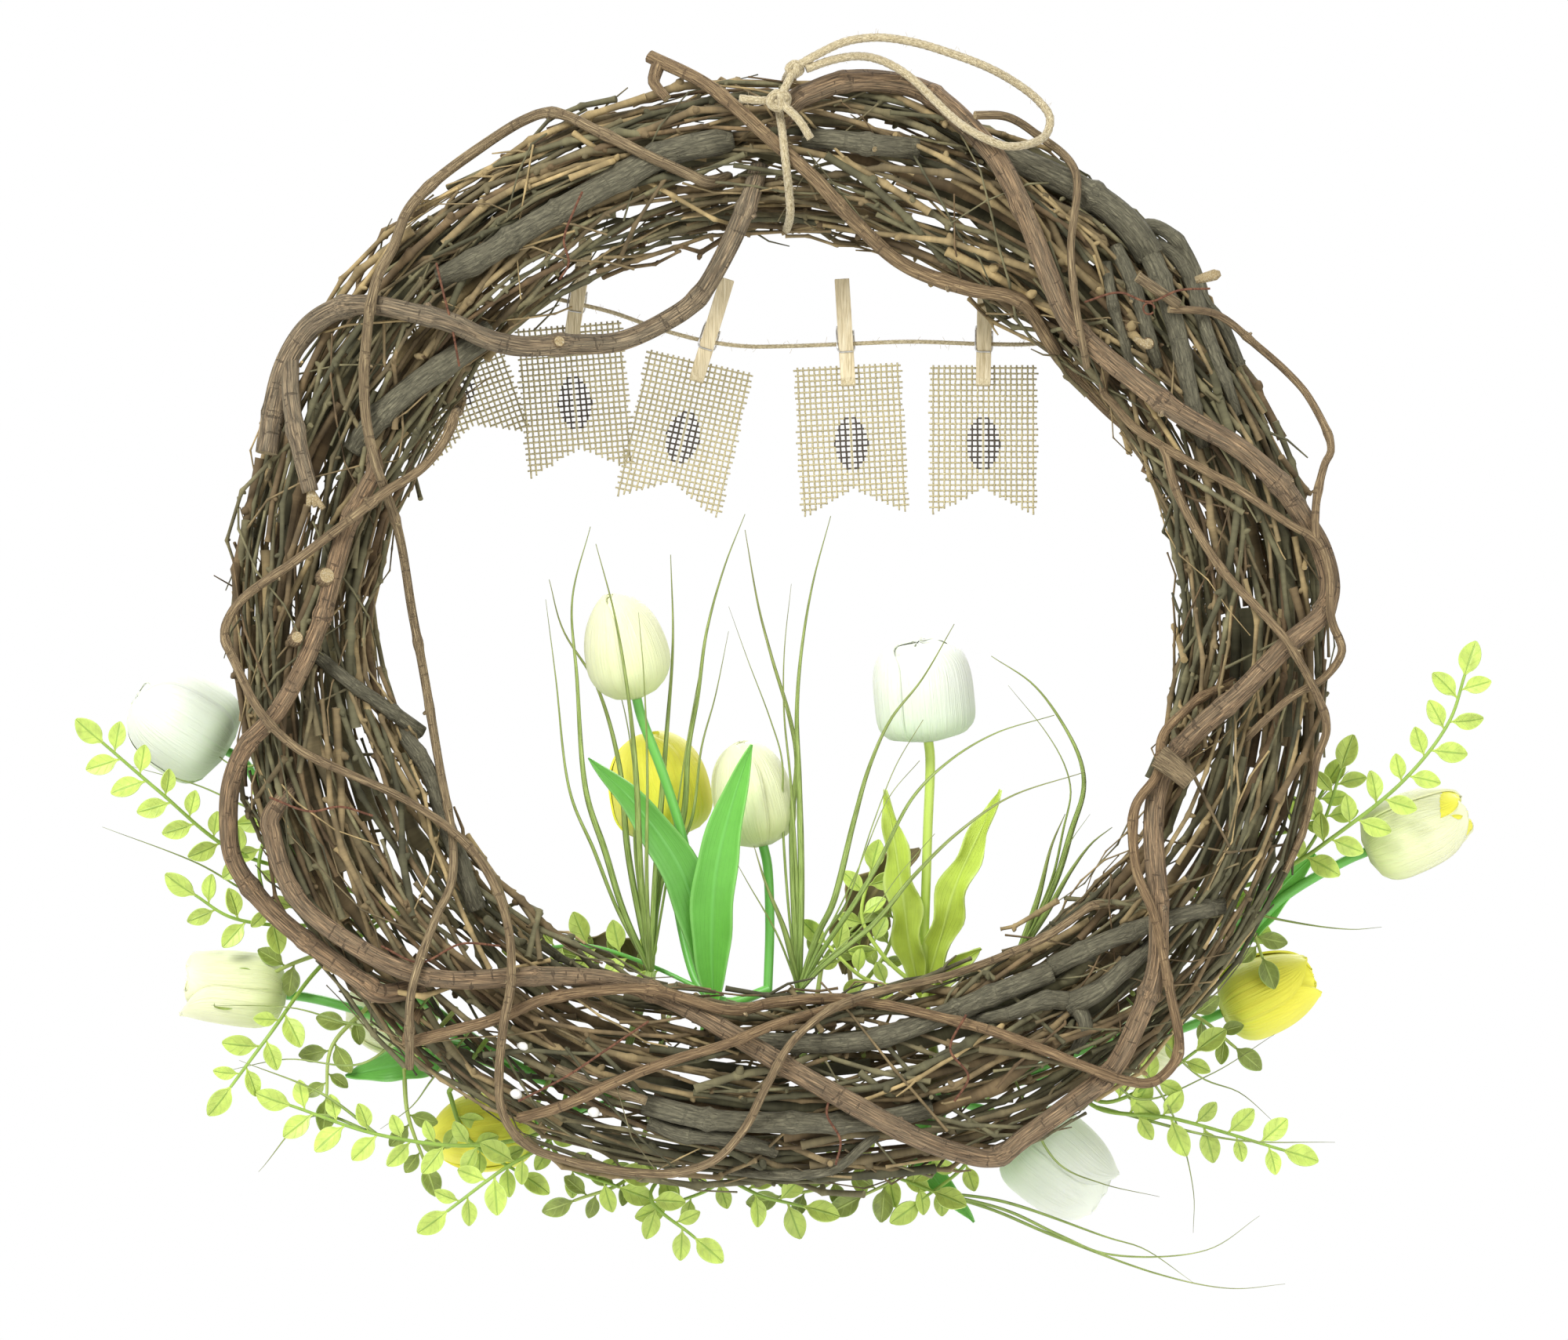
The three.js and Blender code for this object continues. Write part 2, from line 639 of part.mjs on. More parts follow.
// A peg half in profile, from its jaw at 0 to its handle: side is -1 for the half that swings
function pegHalf(side) {
  const profile = new THREE.Shape();
  const outer = side * (PEG_GAP + PEG_HALF_THICK);
  const face = side * PEG_GAP;
  profile.moveTo(0, face);
  profile.lineTo(0.8, outer - side * 1.4);
  profile.lineTo(4, outer);
  profile.lineTo(PEG_LENGTH, outer);
  profile.lineTo(PEG_LENGTH, face + side * PEG_TAPER);
  const reach = side < 0 ? PEG_COIL + SLEEVE : PEG_COIL;
  const width = Math.sqrt(reach * reach - PEG_GAP * PEG_GAP);
  profile.lineTo(PEG_PIVOT + width, face);
  const arcPoints = 5;
  const dip = Math.atan2(PEG_GAP, width);
  const sweep = side < 0 ? Math.PI - 2 * dip : Math.PI + 2 * dip;
  for (let i = 1; i < arcPoints + 1; i += 1) {
    const turn = (side < 0 ? dip : -dip) + (sweep * i) / (arcPoints + 1);
    profile.lineTo(PEG_PIVOT + reach * Math.cos(turn), -reach * Math.sin(turn));
  }
  profile.lineTo(PEG_PIVOT - width, face);
  const notch = TWINE_RADIUS + SLEEVE + 0.1;
  profile.lineTo(PEG_NOTCH + PEG_NOTCH_WIDTH / 2, face);
  profile.lineTo(PEG_NOTCH + PEG_NOTCH_WIDTH / 3, side * notch);
  profile.lineTo(PEG_NOTCH - PEG_NOTCH_WIDTH / 3, side * notch);
  profile.lineTo(PEG_NOTCH - PEG_NOTCH_WIDTH / 2, face);
  profile.closePath();
  const shape = new THREE.ExtrudeGeometry(profile, { depth: PEG_WIDTH, bevelEnabled: false });
  shape.translate(0, 0, -PEG_WIDTH / 2);
  const turned = new THREE.Matrix4().makeBasis(
    new THREE.Vector3(0, 0, 1), new THREE.Vector3(0, 1, 0), new THREE.Vector3(-1, 0, 0));
  shape.applyMatrix4(turned);
  return solidOf(shape);
}

// A swallowtail pennant that hangs from its peg: its foot swings out of the plane by a bend
function pennant(bend) {
  const pointAt = (across, along) => {
    const length = FLAG_LENGTH - FLAG_NOTCH * (1 - Math.abs(across));
    return new THREE.Vector3((across * FLAG_WIDTH) / 2, bend * along ** 3, PEG_GRIP - length * along);
  };
  return sheet(pointAt, 2, 4, FLAG_THICK);
}

// Tulip head: three outer petals lie over an inner cup of three more, and all their tips stand up.
// Each column of the surface follows a petal: its middle, its half width, its edge and the foot of
// the edge, and then the middle of the inner petal beside it.
const PETAL_COLUMNS = [
  { side: 0, spread: 0, over: 1 },
  { side: 1, spread: 0.55, over: 1 },
  { side: 1, spread: 0.97, over: 1 },
  { side: 1, spread: 1.05, over: 0 },
  { side: 0, spread: 60, over: 0 },
  { side: -1, spread: 1.05, over: 0 },
  { side: -1, spread: 0.97, over: 1 },
  { side: -1, spread: 0.55, over: 1 },
];
const PETAL_ROWS = 4;
const PETAL_RISE = 1.9;

const tulipRadius = (along) => TULIP_RADIUS * Math.sin(Math.PI * between(0.1, 0.86, along)) ** 0.62;
const petalHalfAngle = (along) => 56 * Math.sqrt(Math.max(0.05, 1 - along ** 2.6));

function tulipPoint(petalNumber, column, along, stretch) {
  const { side, spread, over } = column;
  const offset = side === 0 ? spread : side * spread * petalHalfAngle(along);
  const degrees = petalNumber * 120 + offset;
  const inner = Math.cos(((degrees - 60) * DEGREE * 3) / 2) ** 2;
  const top = over === 1 ? TULIP_LENGTH * (1 - 0.05 * spread ** 2) : TULIP_LENGTH * (0.87 + 0.08 * inner);
  const radius = (tulipRadius(along) - 1 + over * PETAL_RISE) * stretch;
  return new THREE.Vector3(
    radius * Math.sin(degrees * DEGREE), top * along, radius * Math.cos(degrees * DEGREE));
}

function tulipHead(stretch) {
  const columns = PETAL_COLUMNS.length * 3;
  const shape = new THREE.CylinderGeometry(1, 1, 1, columns, PETAL_ROWS);
  const position = shape.attributes.position;
  for (let i = 0; i < position.count; i += 1) {
    const along = position.getY(i) + 0.5;
    const flat = Math.hypot(position.getX(i), position.getZ(i));
    if (flat < 0.01) {
      position.setXYZ(i, 0, along > 0.5 ? TULIP_LENGTH * 0.72 : 0, 0);
    } else {
      const turn = Math.atan2(position.getX(i), position.getZ(i)) / (2 * Math.PI);
      const order = (Math.round(turn * columns) + columns) % columns;
      const column = PETAL_COLUMNS[order % PETAL_COLUMNS.length];
      const point = tulipPoint(Math.floor(order / PETAL_COLUMNS.length), column, along, stretch);
      position.setXYZ(i, point.x, point.y, point.z);
    }
  }
  return solidOf(shape);
}

// Heads: base and tip of the axis, colour, and how far it is turned about its axis
const TULIPS = [
  { name: "tulip_1", base: [-66, 10, -30], tip: [-77, -2, 16], material: PETAL_CREAM, turn: 20, stretch: 0.92 },
  { name: "tulip_2", base: [-52, 55, -93], tip: [-61, 53, -46], material: PETAL_YELLOW, turn: 70, stretch: 1.15 },
  { name: "tulip_3", base: [-10, 36, -96], tip: [-20, 34, -50], material: PETAL_CREAM, turn: 45, stretch: 0.92 },
  { name: "tulip_4", base: [63, 12, -48], tip: [58, 4, -5], material: PETAL_WHITE, turn: 10, stretch: 1.1 },
  { name: "tulip_5", base: [-249, 36, -54], tip: [-289, 32, -29], material: PETAL_WHITE, turn: 30, stretch: 1.18 },
  { name: "tulip_6", base: [-223, 42, -163], tip: [-268, 40, -158], material: PETAL_CREAM, turn: 80, stretch: 0.85 },
  { name: "tulip_7", base: [-112, 50, -220], tip: [-158, 54, -228], material: PETAL_YELLOW, turn: 0, stretch: 0.95 },
  { name: "tulip_8", base: [104, 52, -224], tip: [141, 56, -254], material: PETAL_WHITE, turn: 50, stretch: 1.1 },
  { name: "tulip_9", base: [195, 46, -171], tip: [236, 44, -154], material: PETAL_YELLOW, turn: 15, stretch: 0.95 },
  { name: "tulip_10", base: [259, 38, -99], tip: [304, 36, -80], material: PETAL_CREAM, turn: 60, stretch: 0.95 },
  { name: "tulip_11", base: [-158, 54, -178], tip: [-196, 66, -166], material: PETAL_CREAM, turn: 25, stretch: 0.95 },
  { name: "tulip_12", base: [138, 60, -181], tip: [172, 72, -196], material: PETAL_CREAM, turn: 40, stretch: 0.95 },
];

function tulip({ name, base, tip, material, turn, stretch }) {
  const axis = triple(tip).sub(triple(base));
  const long = axis.length() / TULIP_LENGTH;
  const spin = new THREE.Quaternion().setFromAxisAngle(new THREE.Vector3(0, 1, 0), turn * DEGREE);
  const aim = new THREE.Quaternion().setFromUnitVectors(new THREE.Vector3(0, 1, 0), axis.clone().normalize());
  const matrix = new THREE.Matrix4().compose(triple(base), aim.multiply(spin), new THREE.Vector3(1, long, 1));
  addNode(name, tulipHead(stretch).transform(matrix.elements), material);
}

// Tulip stems and their long leaves, each group gathered at its foot
const UPWARD = new THREE.Vector3(0, -1, 0);
const stem = (route) => stalk(route.map(triple), STEM_RADIUS, STEM_RADIUS * 0.9, 5, 28);
const longLeaf = (route, width, facing, options = {}) =>
  leaf(route.map(triple), oval(width, 0.8), facing, { columns: 2, rows: 4, cup: 0.25, ...options });

// A sprig of small leaves in pairs along a stem, from a share of its length on
function sprig(route, draw, { from = 0.15, size = 1 } = {}) {
  const points = route.map(triple);
  const curve = new THREE.CatmullRomCurve3(points, false, "centripetal");
  const length = curve.getLength();
  const solids = [stalk(points, SPRIG_RADIUS * 1.2, SPRIG_RADIUS * 0.75, 3, 24)];
  const pitch = (LEAFLET_PITCH * size) / length;
  const pairs = Math.max(1, Math.floor((1 - from) / pitch));
  for (let i = 0; i < pairs; i += 1) {
    const along = 1 - (i + 0.6) * pitch;
    for (const side of [-1, 1]) {
      const offset = side * (LEAFLET_STAGGER / length);
      solids.push(leaflet(curve, along + offset, side, size * between(0.85, 1.05, draw()), draw));
    }
  }
  solids.push(leaflet(curve, 1, 0, size, draw));
  return solids;
}

function leaflet(curve, along, side, size, draw) {
  const share = Math.min(0.99, Math.max(0.01, along));
  const onward = curve.getTangentAt(share);
  const sideways = new THREE.Vector3(0, 1, 0).cross(onward).normalize();
  const root = curve.getPointAt(share).addScaledVector(sideways, side * LEAFLET_ROOT);
  const lean = side === 0 ? 0 : LEAFLET_LEAN * DEGREE;
  const reach = onward.clone().multiplyScalar(Math.cos(lean));
  reach.addScaledVector(sideways, side * Math.sin(lean));
  reach.y += between(-0.2, 0.1, draw());
  reach.normalize();
  const facing = new THREE.Vector3(between(-0.22, 0.22, draw()), -1, between(-0.22, 0.22, draw())).normalize();
  const length = LEAFLET_LENGTH * size;
  const route = [0, 0.5, 1].map((part) => root.clone().addScaledVector(reach, length * part));
  const width = (part) => (part < 0.1 ? LEAFLET_ROOT : (LEAFLET_WIDTH / 2) * size * Math.sin(Math.PI * part ** 0.9) + 0.4);
  return leaf(route, width, facing, { columns: 1, rows: 2, thick: LEAFLET_THICK });
}

// A blade of grass: a list of x and z, with its depth at the foot and the tip
function grassBlade(flat, foot, tip) {
  const last = flat.length - 1;
  const depth = (i) => between(foot, tip, Math.min(1, (GRASS_FORWARD * i) / last));
  const route = flat.map(([x, z], i) => new THREE.Vector3(x, depth(i), z));
  return stalk(route, GRASS_RADIUS, GRASS_RADIUS * 0.55, 3, 30);
}

function grassTuft(name, foot, rootEnd, blades) {
  const solids = [knot(triple(foot), TUFT_FOOT), root([foot, foot.map((at, i) => between(at, rootEnd[i], 0.3)), rootEnd])];
  for (const { route, depth } of blades) solids.push(grassBlade([[foot[0], foot[2]], ...route], ...depth));
  addNode(name, fuse(solids), GRASS_OLIVE);
}

// The vines go on first, because the brushwood is then cleared round them
VINES.forEach(vine);

// Jute loop and the wrap that ties it round the ring
const wrapBack = lay(WRAP_ROUTE, JUTE_RADIUS);
const TOP = sectionAt(90);
const wrapFront = [-1, -0.6, 0, 0.6, 1].map((share) => {
  const reach = TOP.half + JUTE_RADIUS;
  const depth = RING_DEPTH * Math.sqrt(1 - share * share);
  return new THREE.Vector3(0, depth, TOP.middle + share * reach);
});
const wrapRoute = [MAIN_KNOT, ...wrapBack.filter((p, i) => i % 2 === 1), ...wrapFront, UPPER_KNOT];
const wrapTail = [MAIN_KNOT, new THREE.Vector3(6, -38, 222), new THREE.Vector3(11, -38, 214)];
const knotTie = [UPPER_KNOT, new THREE.Vector3(1, -34, 239), MAIN_KNOT];
const leftTail = [MAIN_KNOT, new THREE.Vector3(-11, -34, 231), new THREE.Vector3(-20, -32, 232)];

const jute = (route, inflate, steps) =>
  stalk(route, JUTE_RADIUS + inflate, JUTE_RADIUS + inflate, 5, steps);
const knotParts = (inflate) => [
  knot(UPPER_KNOT, [4.5 + inflate, 3.6 + inflate, 4.5 + inflate]),
  knot(MAIN_KNOT, [6 + inflate, 4.2 + inflate, 6 + inflate]),
  jute(wrapRoute, inflate, 13),
  jute(wrapTail, inflate, 10),
  jute(knotTie, inflate, 10),
  jute(leftTail, inflate, 10),
];
const knots = fuse(knotParts(0));
const loopRoute = LOOP_ROUTE.map(triple);
const loop = cord(loopRoute, JUTE_RADIUS, LOOP_STEP).subtract(fuse(knotParts(SLEEVE)));
addNode("loop_knots", knots, JUTE);
addNode("hanging_loop", fuse([loop]), JUTE);

// Tulip heads
TULIPS.forEach(tulip);

// Where a stem meets its tulip, and a little before
const NECK_GAP = 0.45;
const NECK_LENGTH = 9;

function neck(name) {
  const { base, tip } = TULIPS.find((head) => head.name === name);
  const foot = triple(base);
  const down = foot.clone().sub(triple(tip)).normalize();
  return [NECK_GAP, NECK_LENGTH].map((below) => foot.clone().addScaledVector(down, below).toArray());
}

// Stems of the tulips in the hole, with their long leaves
const leftDraw = drawFrom(7);
addNode("stems_inner_left", fuse([
  stem([...neck("tulip_1"), [-54, 14, -65], [-45, 16, -95], [-40, 22, -130], [-34, 30, -164]]),
  stem([...neck("tulip_2"), [-48, 49, -125], [-40, 36, -156], [-34, 31, -164]]),
  stem([...neck("tulip_3"), [-7, 35, -130], [-8, 32, -164]]),
  longLeaf([[-33, 30, -166], [-36, 24, -140], [-46, 14, -108], [-66, 5, -78], [-87, -1, -57]], 9, UPWARD),
  longLeaf([[-32, 29, -168], [-33, 22, -140], [-31, 12, -108], [-24, 4, -78], [-15, -2, -51]], 9.5, UPWARD),
  stem([[-36, 31, -160], [-26, 31.5, -166], [-7, 31.5, -160]]),
  root([[-34, 32, -158], [-35, 29, -172], [-38, 8, -192]], 2.8),
  ...sprig([[-34, 32, -162], [-60, 41, -150], [-88, 38, -141], [-110, 34, -142]], leftDraw),
]), STEM_GREEN);

const rightDraw = drawFrom(8);
addNode("stems_inner_right", fuse([
  stem([...neck("tulip_4"), [63, 18, -90], [62, 24, -125], [61, 31, -160]]),
  longLeaf([[60, 30, -164], [55, 24, -140], [51, 14, -112], [44, 6, -71]], 7.5, UPWARD, { wave: 1.1 }),
  longLeaf([[61, 31, -164], [68, 26, -140], [76, 16, -112], [95, 6, -71]], 7.5, UPWARD, { wave: 1.1 }),
  longLeaf([[61, 33, -164], [74, 33, -152], [87, 32, -142]], 5, UPWARD, { rows: 3 }),
  root([[61, 32, -156], [62, 30, -168], [66, 8, -190]], 2.8),
  ...sprig([[60, 33, -160], [44, 38, -146], [34, 40, -128], [38, 40, -108]], rightDraw, { size: 0.9 }),
  ...sprig([[60, 33, -160], [36, 36, -156], [18, 38, -140]], rightDraw, { size: 0.9 }),
]), STEM_LIME);

// Stems of the tulips outside the ring
addNode("stems_outer_left", fuse([
  stem([...neck("tulip_5"), [-228, 36, -84], [-205, 34, -125], [-165, 33, -162], [-115, 33, -196], [-72, 33, -208]]),
  stem([...neck("tulip_6"), [-190, 40, -170], [-150, 35, -186], [-110, 33, -200], [-72, 33, -209]]),
  stem([...neck("tulip_7"), [-95, 42, -215], [-72, 34, -210]]),
  stem([...neck("tulip_11"), [-135, 42, -188], [-105, 34, -200], [-72, 33, -208]]),
  longLeaf([[-140, 34, -186], [-165, 38, -192], [-196, 36, -199]], 8, UPWARD),
  root([[-74, 34, -208], [-70, 30, -207], [-66, 8, -204]], 2.8),
]), STEM_GREEN);

addNode("stems_outer_right", fuse([
  stem([...neck("tulip_10"), [221, 36, -120], [196, 34, -146], [150, 33, -178], [100, 33, -200], [72, 33, -208]]),
  stem([...neck("tulip_9"), [165, 37, -182], [125, 33, -196], [72, 33, -208]]),
  stem([...neck("tulip_8"), [88, 42, -214], [72, 34, -209]]),
  stem([...neck("tulip_12"), [118, 46, -188], [90, 34, -202], [72, 33, -208]]),
  longLeaf([[198, 34, -144], [212, 37, -124], [236, 38, -100]], 7.5, UPWARD),
  longLeaf([[72, 34, -209], [60, 36, -232], [84, 36, -264]], 6, UPWARD),
  root([[74, 34, -208], [70, 30, -207], [66, 8, -204]], 2.8),
]), STEM_GREEN);

// Leafy sprays, with the grass that is tucked in beside them. Each is pushed in behind its own foot.
function leafSpray(name, seed, foot, sprigs, blades = []) {
  const draw = drawFrom(seed);
  const [x, y, z] = foot;
  const solids = [root([foot, [x, y - 8, z], [x, ROOT_END, z]], SPRIG_RADIUS * 1.6)];
  for (const { route, from } of sprigs) solids.push(...sprig([foot, ...route], draw, { from }));
  for (const { route, depth } of blades) solids.push(grassBlade(route, ...depth));
  addNode(name, fuse(solids), LEAFLET_LIME);
}

leafSpray("spray_left", 21, [-172, 43, -126], [
  { route: [[-205, 42, -112], [-246, 26, -98], [-277, 10, -72], [-302, 4, -50]], from: 0.35 },
  { route: [[-212, 41, -132], [-246, 24, -128], [-262, 22, -118]], from: 0.55 },
  { route: [[-205, 41, -148], [-229, 20, -180], [-246, 18, -203]], from: 0.5 },
], [
  { route: [[-172, -126], [-228, -122], [-262, -104], [-304, -88]], depth: [43, 33] },
]);

leafSpray("spray_bottom_left", 22, [-98, 40, -186], [
  { route: [[-98, 38, -208], [-106, 26, -222], [-139, 20, -229], [-181, 18, -224], [-220, 18, -211]], from: 0.35 },
  { route: [[-98, 38, -208], [-104, 26, -226], [-126, 18, -240], [-150, 16, -258]], from: 0.55 },
], [
  { route: [[-181, -224], [-205, -206], [-242, -191]], depth: [18, 14] },
  { route: [[-181, -224], [-210, -216], [-234, -241]], depth: [18, 24] },
]);

leafSpray("spray_bottom", 23, [-30, 34, -212], [
  { route: [[-48, 32, -236], [-60, 22, -252], [-40, 18, -270]], from: 0.3 },
  { route: [[-30, 30, -238], [-14, 20, -250], [8, 18, -256]], from: 0.45 },
  { route: [[10, 36, -226], [40, 34, -240], [66, 26, -250]], from: 0.3 },
], [
  { route: [[66, -250], [96, -254], [143, -270], [159, -275], [181, -290]], depth: [26, 22] },
  { route: [[66, -250], [98, -258], [122, -269], [143, -277], [187, -275], [210, -260]], depth: [26, 16] },
  { route: [[66, -250], [92, -258], [118, -269], [167, -287], [198, -293], [222, -291]], depth: [26, 28] },
]);

leafSpray("spray_right_low", 24, [122, 37, -170], [
  { route: [[124, 39, -194], [137, 30, -212], [172, 18, -217], [221, 16, -231]], from: 0.35 },
  { route: [[124, 39, -194], [140, 28, -210], [160, 20, -203], [182, 18, -187]], from: 0.55 },
], [
  { route: [[137, -212], [198, -226], [243, -227]], depth: [30, 8] },
]);

leafSpray("spray_right", 25, [176, 38, -116], [
  { route: [[205, 36, -114], [226, 24, -104], [240, 14, -94], [273, 4, -67], [293, 2, -41], [300, 2, -20]], from: 0.3 },
  { route: [[205, 36, -114], [226, 24, -104], [238, 16, -86], [246, 12, -62]], from: 0.6 },
  { route: [[190, 42, -122], [203, 42, -130]], from: 0.4 },
], [
  { route: [[176, -116], [215, -128], [250, -133], [264, -132]], depth: [38, 14] },
]);

// Grass in the hole
grassTuft("grass_inner_left", [-60, 34, -153], [-70, ROOT_END, -186], [
  { route: [[-72, -125], [-80, -98], [-88, -72], [-92, -21], [-94, 13], [-86, 45]], depth: [33, -6] },
  { route: [[-64, -110], [-66, -60], [-70, -21], [-75, 7], [-83, 37]], depth: [33, -36] },
  { route: [[-70, -100], [-74, -60], [-84, -25], [-99, 0], [-105, 22]], depth: [33, 26] },
  { route: [[-58, -114], [-53, -49], [-50, -6], [-51, 33]], depth: [34, 22] },
  { route: [[-56, -110], [-46, -86], [-43, -52], [-39, -30], [-35, -1], [-27, 28], [-18, 51]], depth: [35, 22] },
]);

grassTuft("grass_inner_centre", [6, 33, -161], [8, ROOT_END, -190], [
  { route: [[4, -129], [3, -83], [5, -58], [2, -40], [-6, -13], [-12, 10], [-18, 44]], depth: [33, 20] },
  { route: [[7, -114], [6, -67], [5, -37], [7, -10], [12, 20], [20, 50]], depth: [33, 12] },
  { route: [[14, -136], [21, -121], [30, -85], [37, -60], [46, -40], [60, -22], [74, 2]], depth: [33, -24] },
  { route: [[18, -140], [28, -125], [40, -105], [56, -74], [72, -58], [92, -46], [118, -38]], depth: [33, -20] },
  { route: [[16, -150], [39, -130], [57, -108], [75, -90], [98, -74], [131, -63]], depth: [33, -24] },
  { route: [[0, -135], [-9, -112], [-14, -96]], depth: [33, 12] },
]);

grassTuft("grass_inner_right", [103, 33, -146], [110, ROOT_END, -162], [
  { route: [[120, -112], [127, -89], [132, -72], [131, -60], [125, -46], [110, -25], [91, -12]], depth: [33, 10] },
  { route: [[112, -120], [118, -96], [124, -82]], depth: [33, 20] },
  { route: [[116, -126], [127, -107], [136, -95], [145, -88]], depth: [33, 24] },
]);

// Dried leaves at the foot of the flowers
const driedLeaf = (route, width, options) => leaf(route.map(triple), oval(width, 0.9), UPWARD, options);
addNode("dried_leaf_right", fuse([
  driedLeaf([[26, 50, -154], [34, 52, -128], [48, 52, -108], [60, 52, -98]], 10, { rows: 7, wave: 1.6, cup: 0.15 }),
  root([[28, 51, -148], [30, 40, -164], [34, ROOT_END, -188]], SPRIG_RADIUS * 1.2),
]), DRIED_BROWN);
addNode("dried_leaf_left", fuse([
  driedLeaf([[-60, 48, -152], [-74, 50, -144], [-94, 52, -140]], 7, { rows: 5, wave: 1.2, cup: 0.15 }),
  root([[-64, 49, -148], [-56, 43, -163], [-54, ROOT_END, -190]], SPRIG_RADIUS * 1.2),
]), DRIED_BROWN);

// Garland
const twineRoute = TWINE_ROUTE.map(triple);
for (const tie of [twineRoute.slice(0, 4), twineRoute.slice(-4)]) {
  makeRoom(tie, TWINE_RADIUS + SLEEVE, TWINE_RADIUS + SLEEVE, 4, 8);
}
addNode("garland_twine", cord(twineRoute, TWINE_RADIUS, TWINE_STEP), JUTE);
for (const { jaw, lean, flagLean, bend, name } of PEGS) {
  addNode(`peg_${name}_sprung_half`, place(pegHalf(-1), jaw, lean), PEG_WOOD);
  addNode(`peg_${name}_fixed_half`, place(pegHalf(1), jaw, lean), PEG_WOOD);
  addNode(`pennant_${name}`, place(pennant(bend), jaw, flagLean), BURLAP);
}

// Brushwood, cleared of the vines and the jute that lie in its face
sleeves.push(...knotParts(SLEEVE));
for (let order = 0; order < BUNDLES; order += 1) {
  let bound = bundle(order);
  for (const sleeve of sleeves) {
    if (bound.intersect(sleeve).volume() > 0) bound = bound.subtract(sleeve);
  }
  addNode(`brushwood_${order + 1}`, fuse([bound]), BRUSHWOOD);
}

wreath.position.copy(UPPER_KNOT).negate();

export default wreath;
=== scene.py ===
"""Looks of a spring door wreath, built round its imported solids.

Places are in millimetres from the ring's centre, with X to the right as seen from the back, Y out of
the front and Z up. metres() gives them in metres in the part's frame. The routes are those of the solids.
"""

import math
import random

import bpy
import numpy as np
from bpy.props import FloatProperty, FloatVectorProperty, PointerProperty
from mathutils import Matrix, Vector


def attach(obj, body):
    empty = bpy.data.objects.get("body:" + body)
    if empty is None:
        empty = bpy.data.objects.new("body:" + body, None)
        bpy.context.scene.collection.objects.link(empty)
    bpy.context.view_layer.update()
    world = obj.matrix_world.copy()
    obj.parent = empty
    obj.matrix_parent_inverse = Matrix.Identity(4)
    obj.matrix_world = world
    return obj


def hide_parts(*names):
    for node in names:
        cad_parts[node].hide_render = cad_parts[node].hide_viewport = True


bl_info = {
    "name": "Spring wreath",
    "version": (1, 0, 0),
    "blender": (4, 5, 0),
    "location": "3D View > Sidebar > Wreath",
    "description": "Builds the looks of a spring door wreath round its solids",
    "category": "Object",
}

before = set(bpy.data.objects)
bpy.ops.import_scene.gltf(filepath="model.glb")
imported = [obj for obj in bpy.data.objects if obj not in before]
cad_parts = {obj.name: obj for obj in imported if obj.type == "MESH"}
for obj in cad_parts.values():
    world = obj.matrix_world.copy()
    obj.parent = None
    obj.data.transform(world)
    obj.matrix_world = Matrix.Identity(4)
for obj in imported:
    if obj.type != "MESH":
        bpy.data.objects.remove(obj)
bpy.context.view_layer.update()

# Sizes shared with the solids, in millimetres
KNOT = np.array([4.0, -30.0, 245.0])
RING_INNER = [177, 175, 170, 178, 177, 177, 183, 173, 170, 164, 170, 178]
RING_OUTER = [235, 233, 236, 240, 241, 245, 241, 248, 251, 244, 247, 243]
RING_DEPTH = 27
RING_PLUMP = 1.12
BUNDLES = 8
CLEAR = 1.2
LAY_STEP = 5
LAY_SLOPE = 0.45
LAY_ROUNDS = 4
TUCK_LENGTH = 13
TUCK_DEPTH = 9
ROOT_END = 8
GARLAND_DEPTH = 36
FLAG_WIDTH = 47
FLAG_LENGTH = 67
FLAG_NOTCH = 12
PEG_GRIP = 9.5
PEG_PIVOT = 25
PEG_WIDTH = 6.5
TULIP_LENGTH = 46
TULIP_RADIUS = 20
LEAFLET_LENGTH = 13.5
LEAFLET_WIDTH = 8.5
LEAFLET_ROOT = 0.45
LEAFLET_LEAN = 58
LEAFLET_PITCH = 15
LEAFLET_STAGGER = 2
LEAFLET_ROLL = 0.45
GRASS_FORWARD = 1.7

# Steps along smooth lines: points between two stops of a route, and millimetres along a plant's lines
ROUTE_POINTS = 30
PLANT_STEP = 3

# The photograph: its size in pixels, the ring's centre in it, and millimetres a pixel at the ring
PHOTO_SIZE = (2000, 1709)
PHOTO_CENTRE = (1002, 802)
PHOTO_SCALE = 0.346
CAMERA_DISTANCE = 4.0
FLOOR_LEVEL = -700
SENSOR_WIDTH = 36


class WreathSettings(bpy.types.PropertyGroup):
    fullness: FloatProperty(
        name="Fullness", description="How many twigs the ring has, as a share of the usual number",
        default=1.0, min=0.2, subtype="FACTOR")
    weave_pitch: FloatProperty(
        name="Weave pitch", description="Distance between the burlap's threads", default=0.00245,
        unit="LENGTH")
    petal_thickness: FloatProperty(
        name="Petal thickness", description="Thickness of the foam petals", default=0.0009, unit="LENGTH")
    brush_colour: FloatVectorProperty(
        name="Brushwood", description="Colour of the ring's twigs", default=(0.2, 0.166, 0.098),
        subtype="COLOR", min=0, max=1)
    vine_colour: FloatVectorProperty(
        name="Vines", description="Colour of the thick vines' bark", default=(0.31, 0.228, 0.148),
        subtype="COLOR", min=0, max=1)
    leaf_colour: FloatVectorProperty(
        name="Leaves", description="Colour of the sprays' leaflets", default=(0.62, 0.8, 0.15),
        subtype="COLOR", min=0, max=1)
    light: FloatProperty(
        name="Light", description="Strength of the studio's lights", default=70, min=0)


def settings():
    return bpy.context.scene.wreath


# Places, lines and surfaces

def metres(points):
    """Millimetres from the ring's centre as metres in the part's frame."""
    return (np.asarray(points, float) - KNOT) / 1000


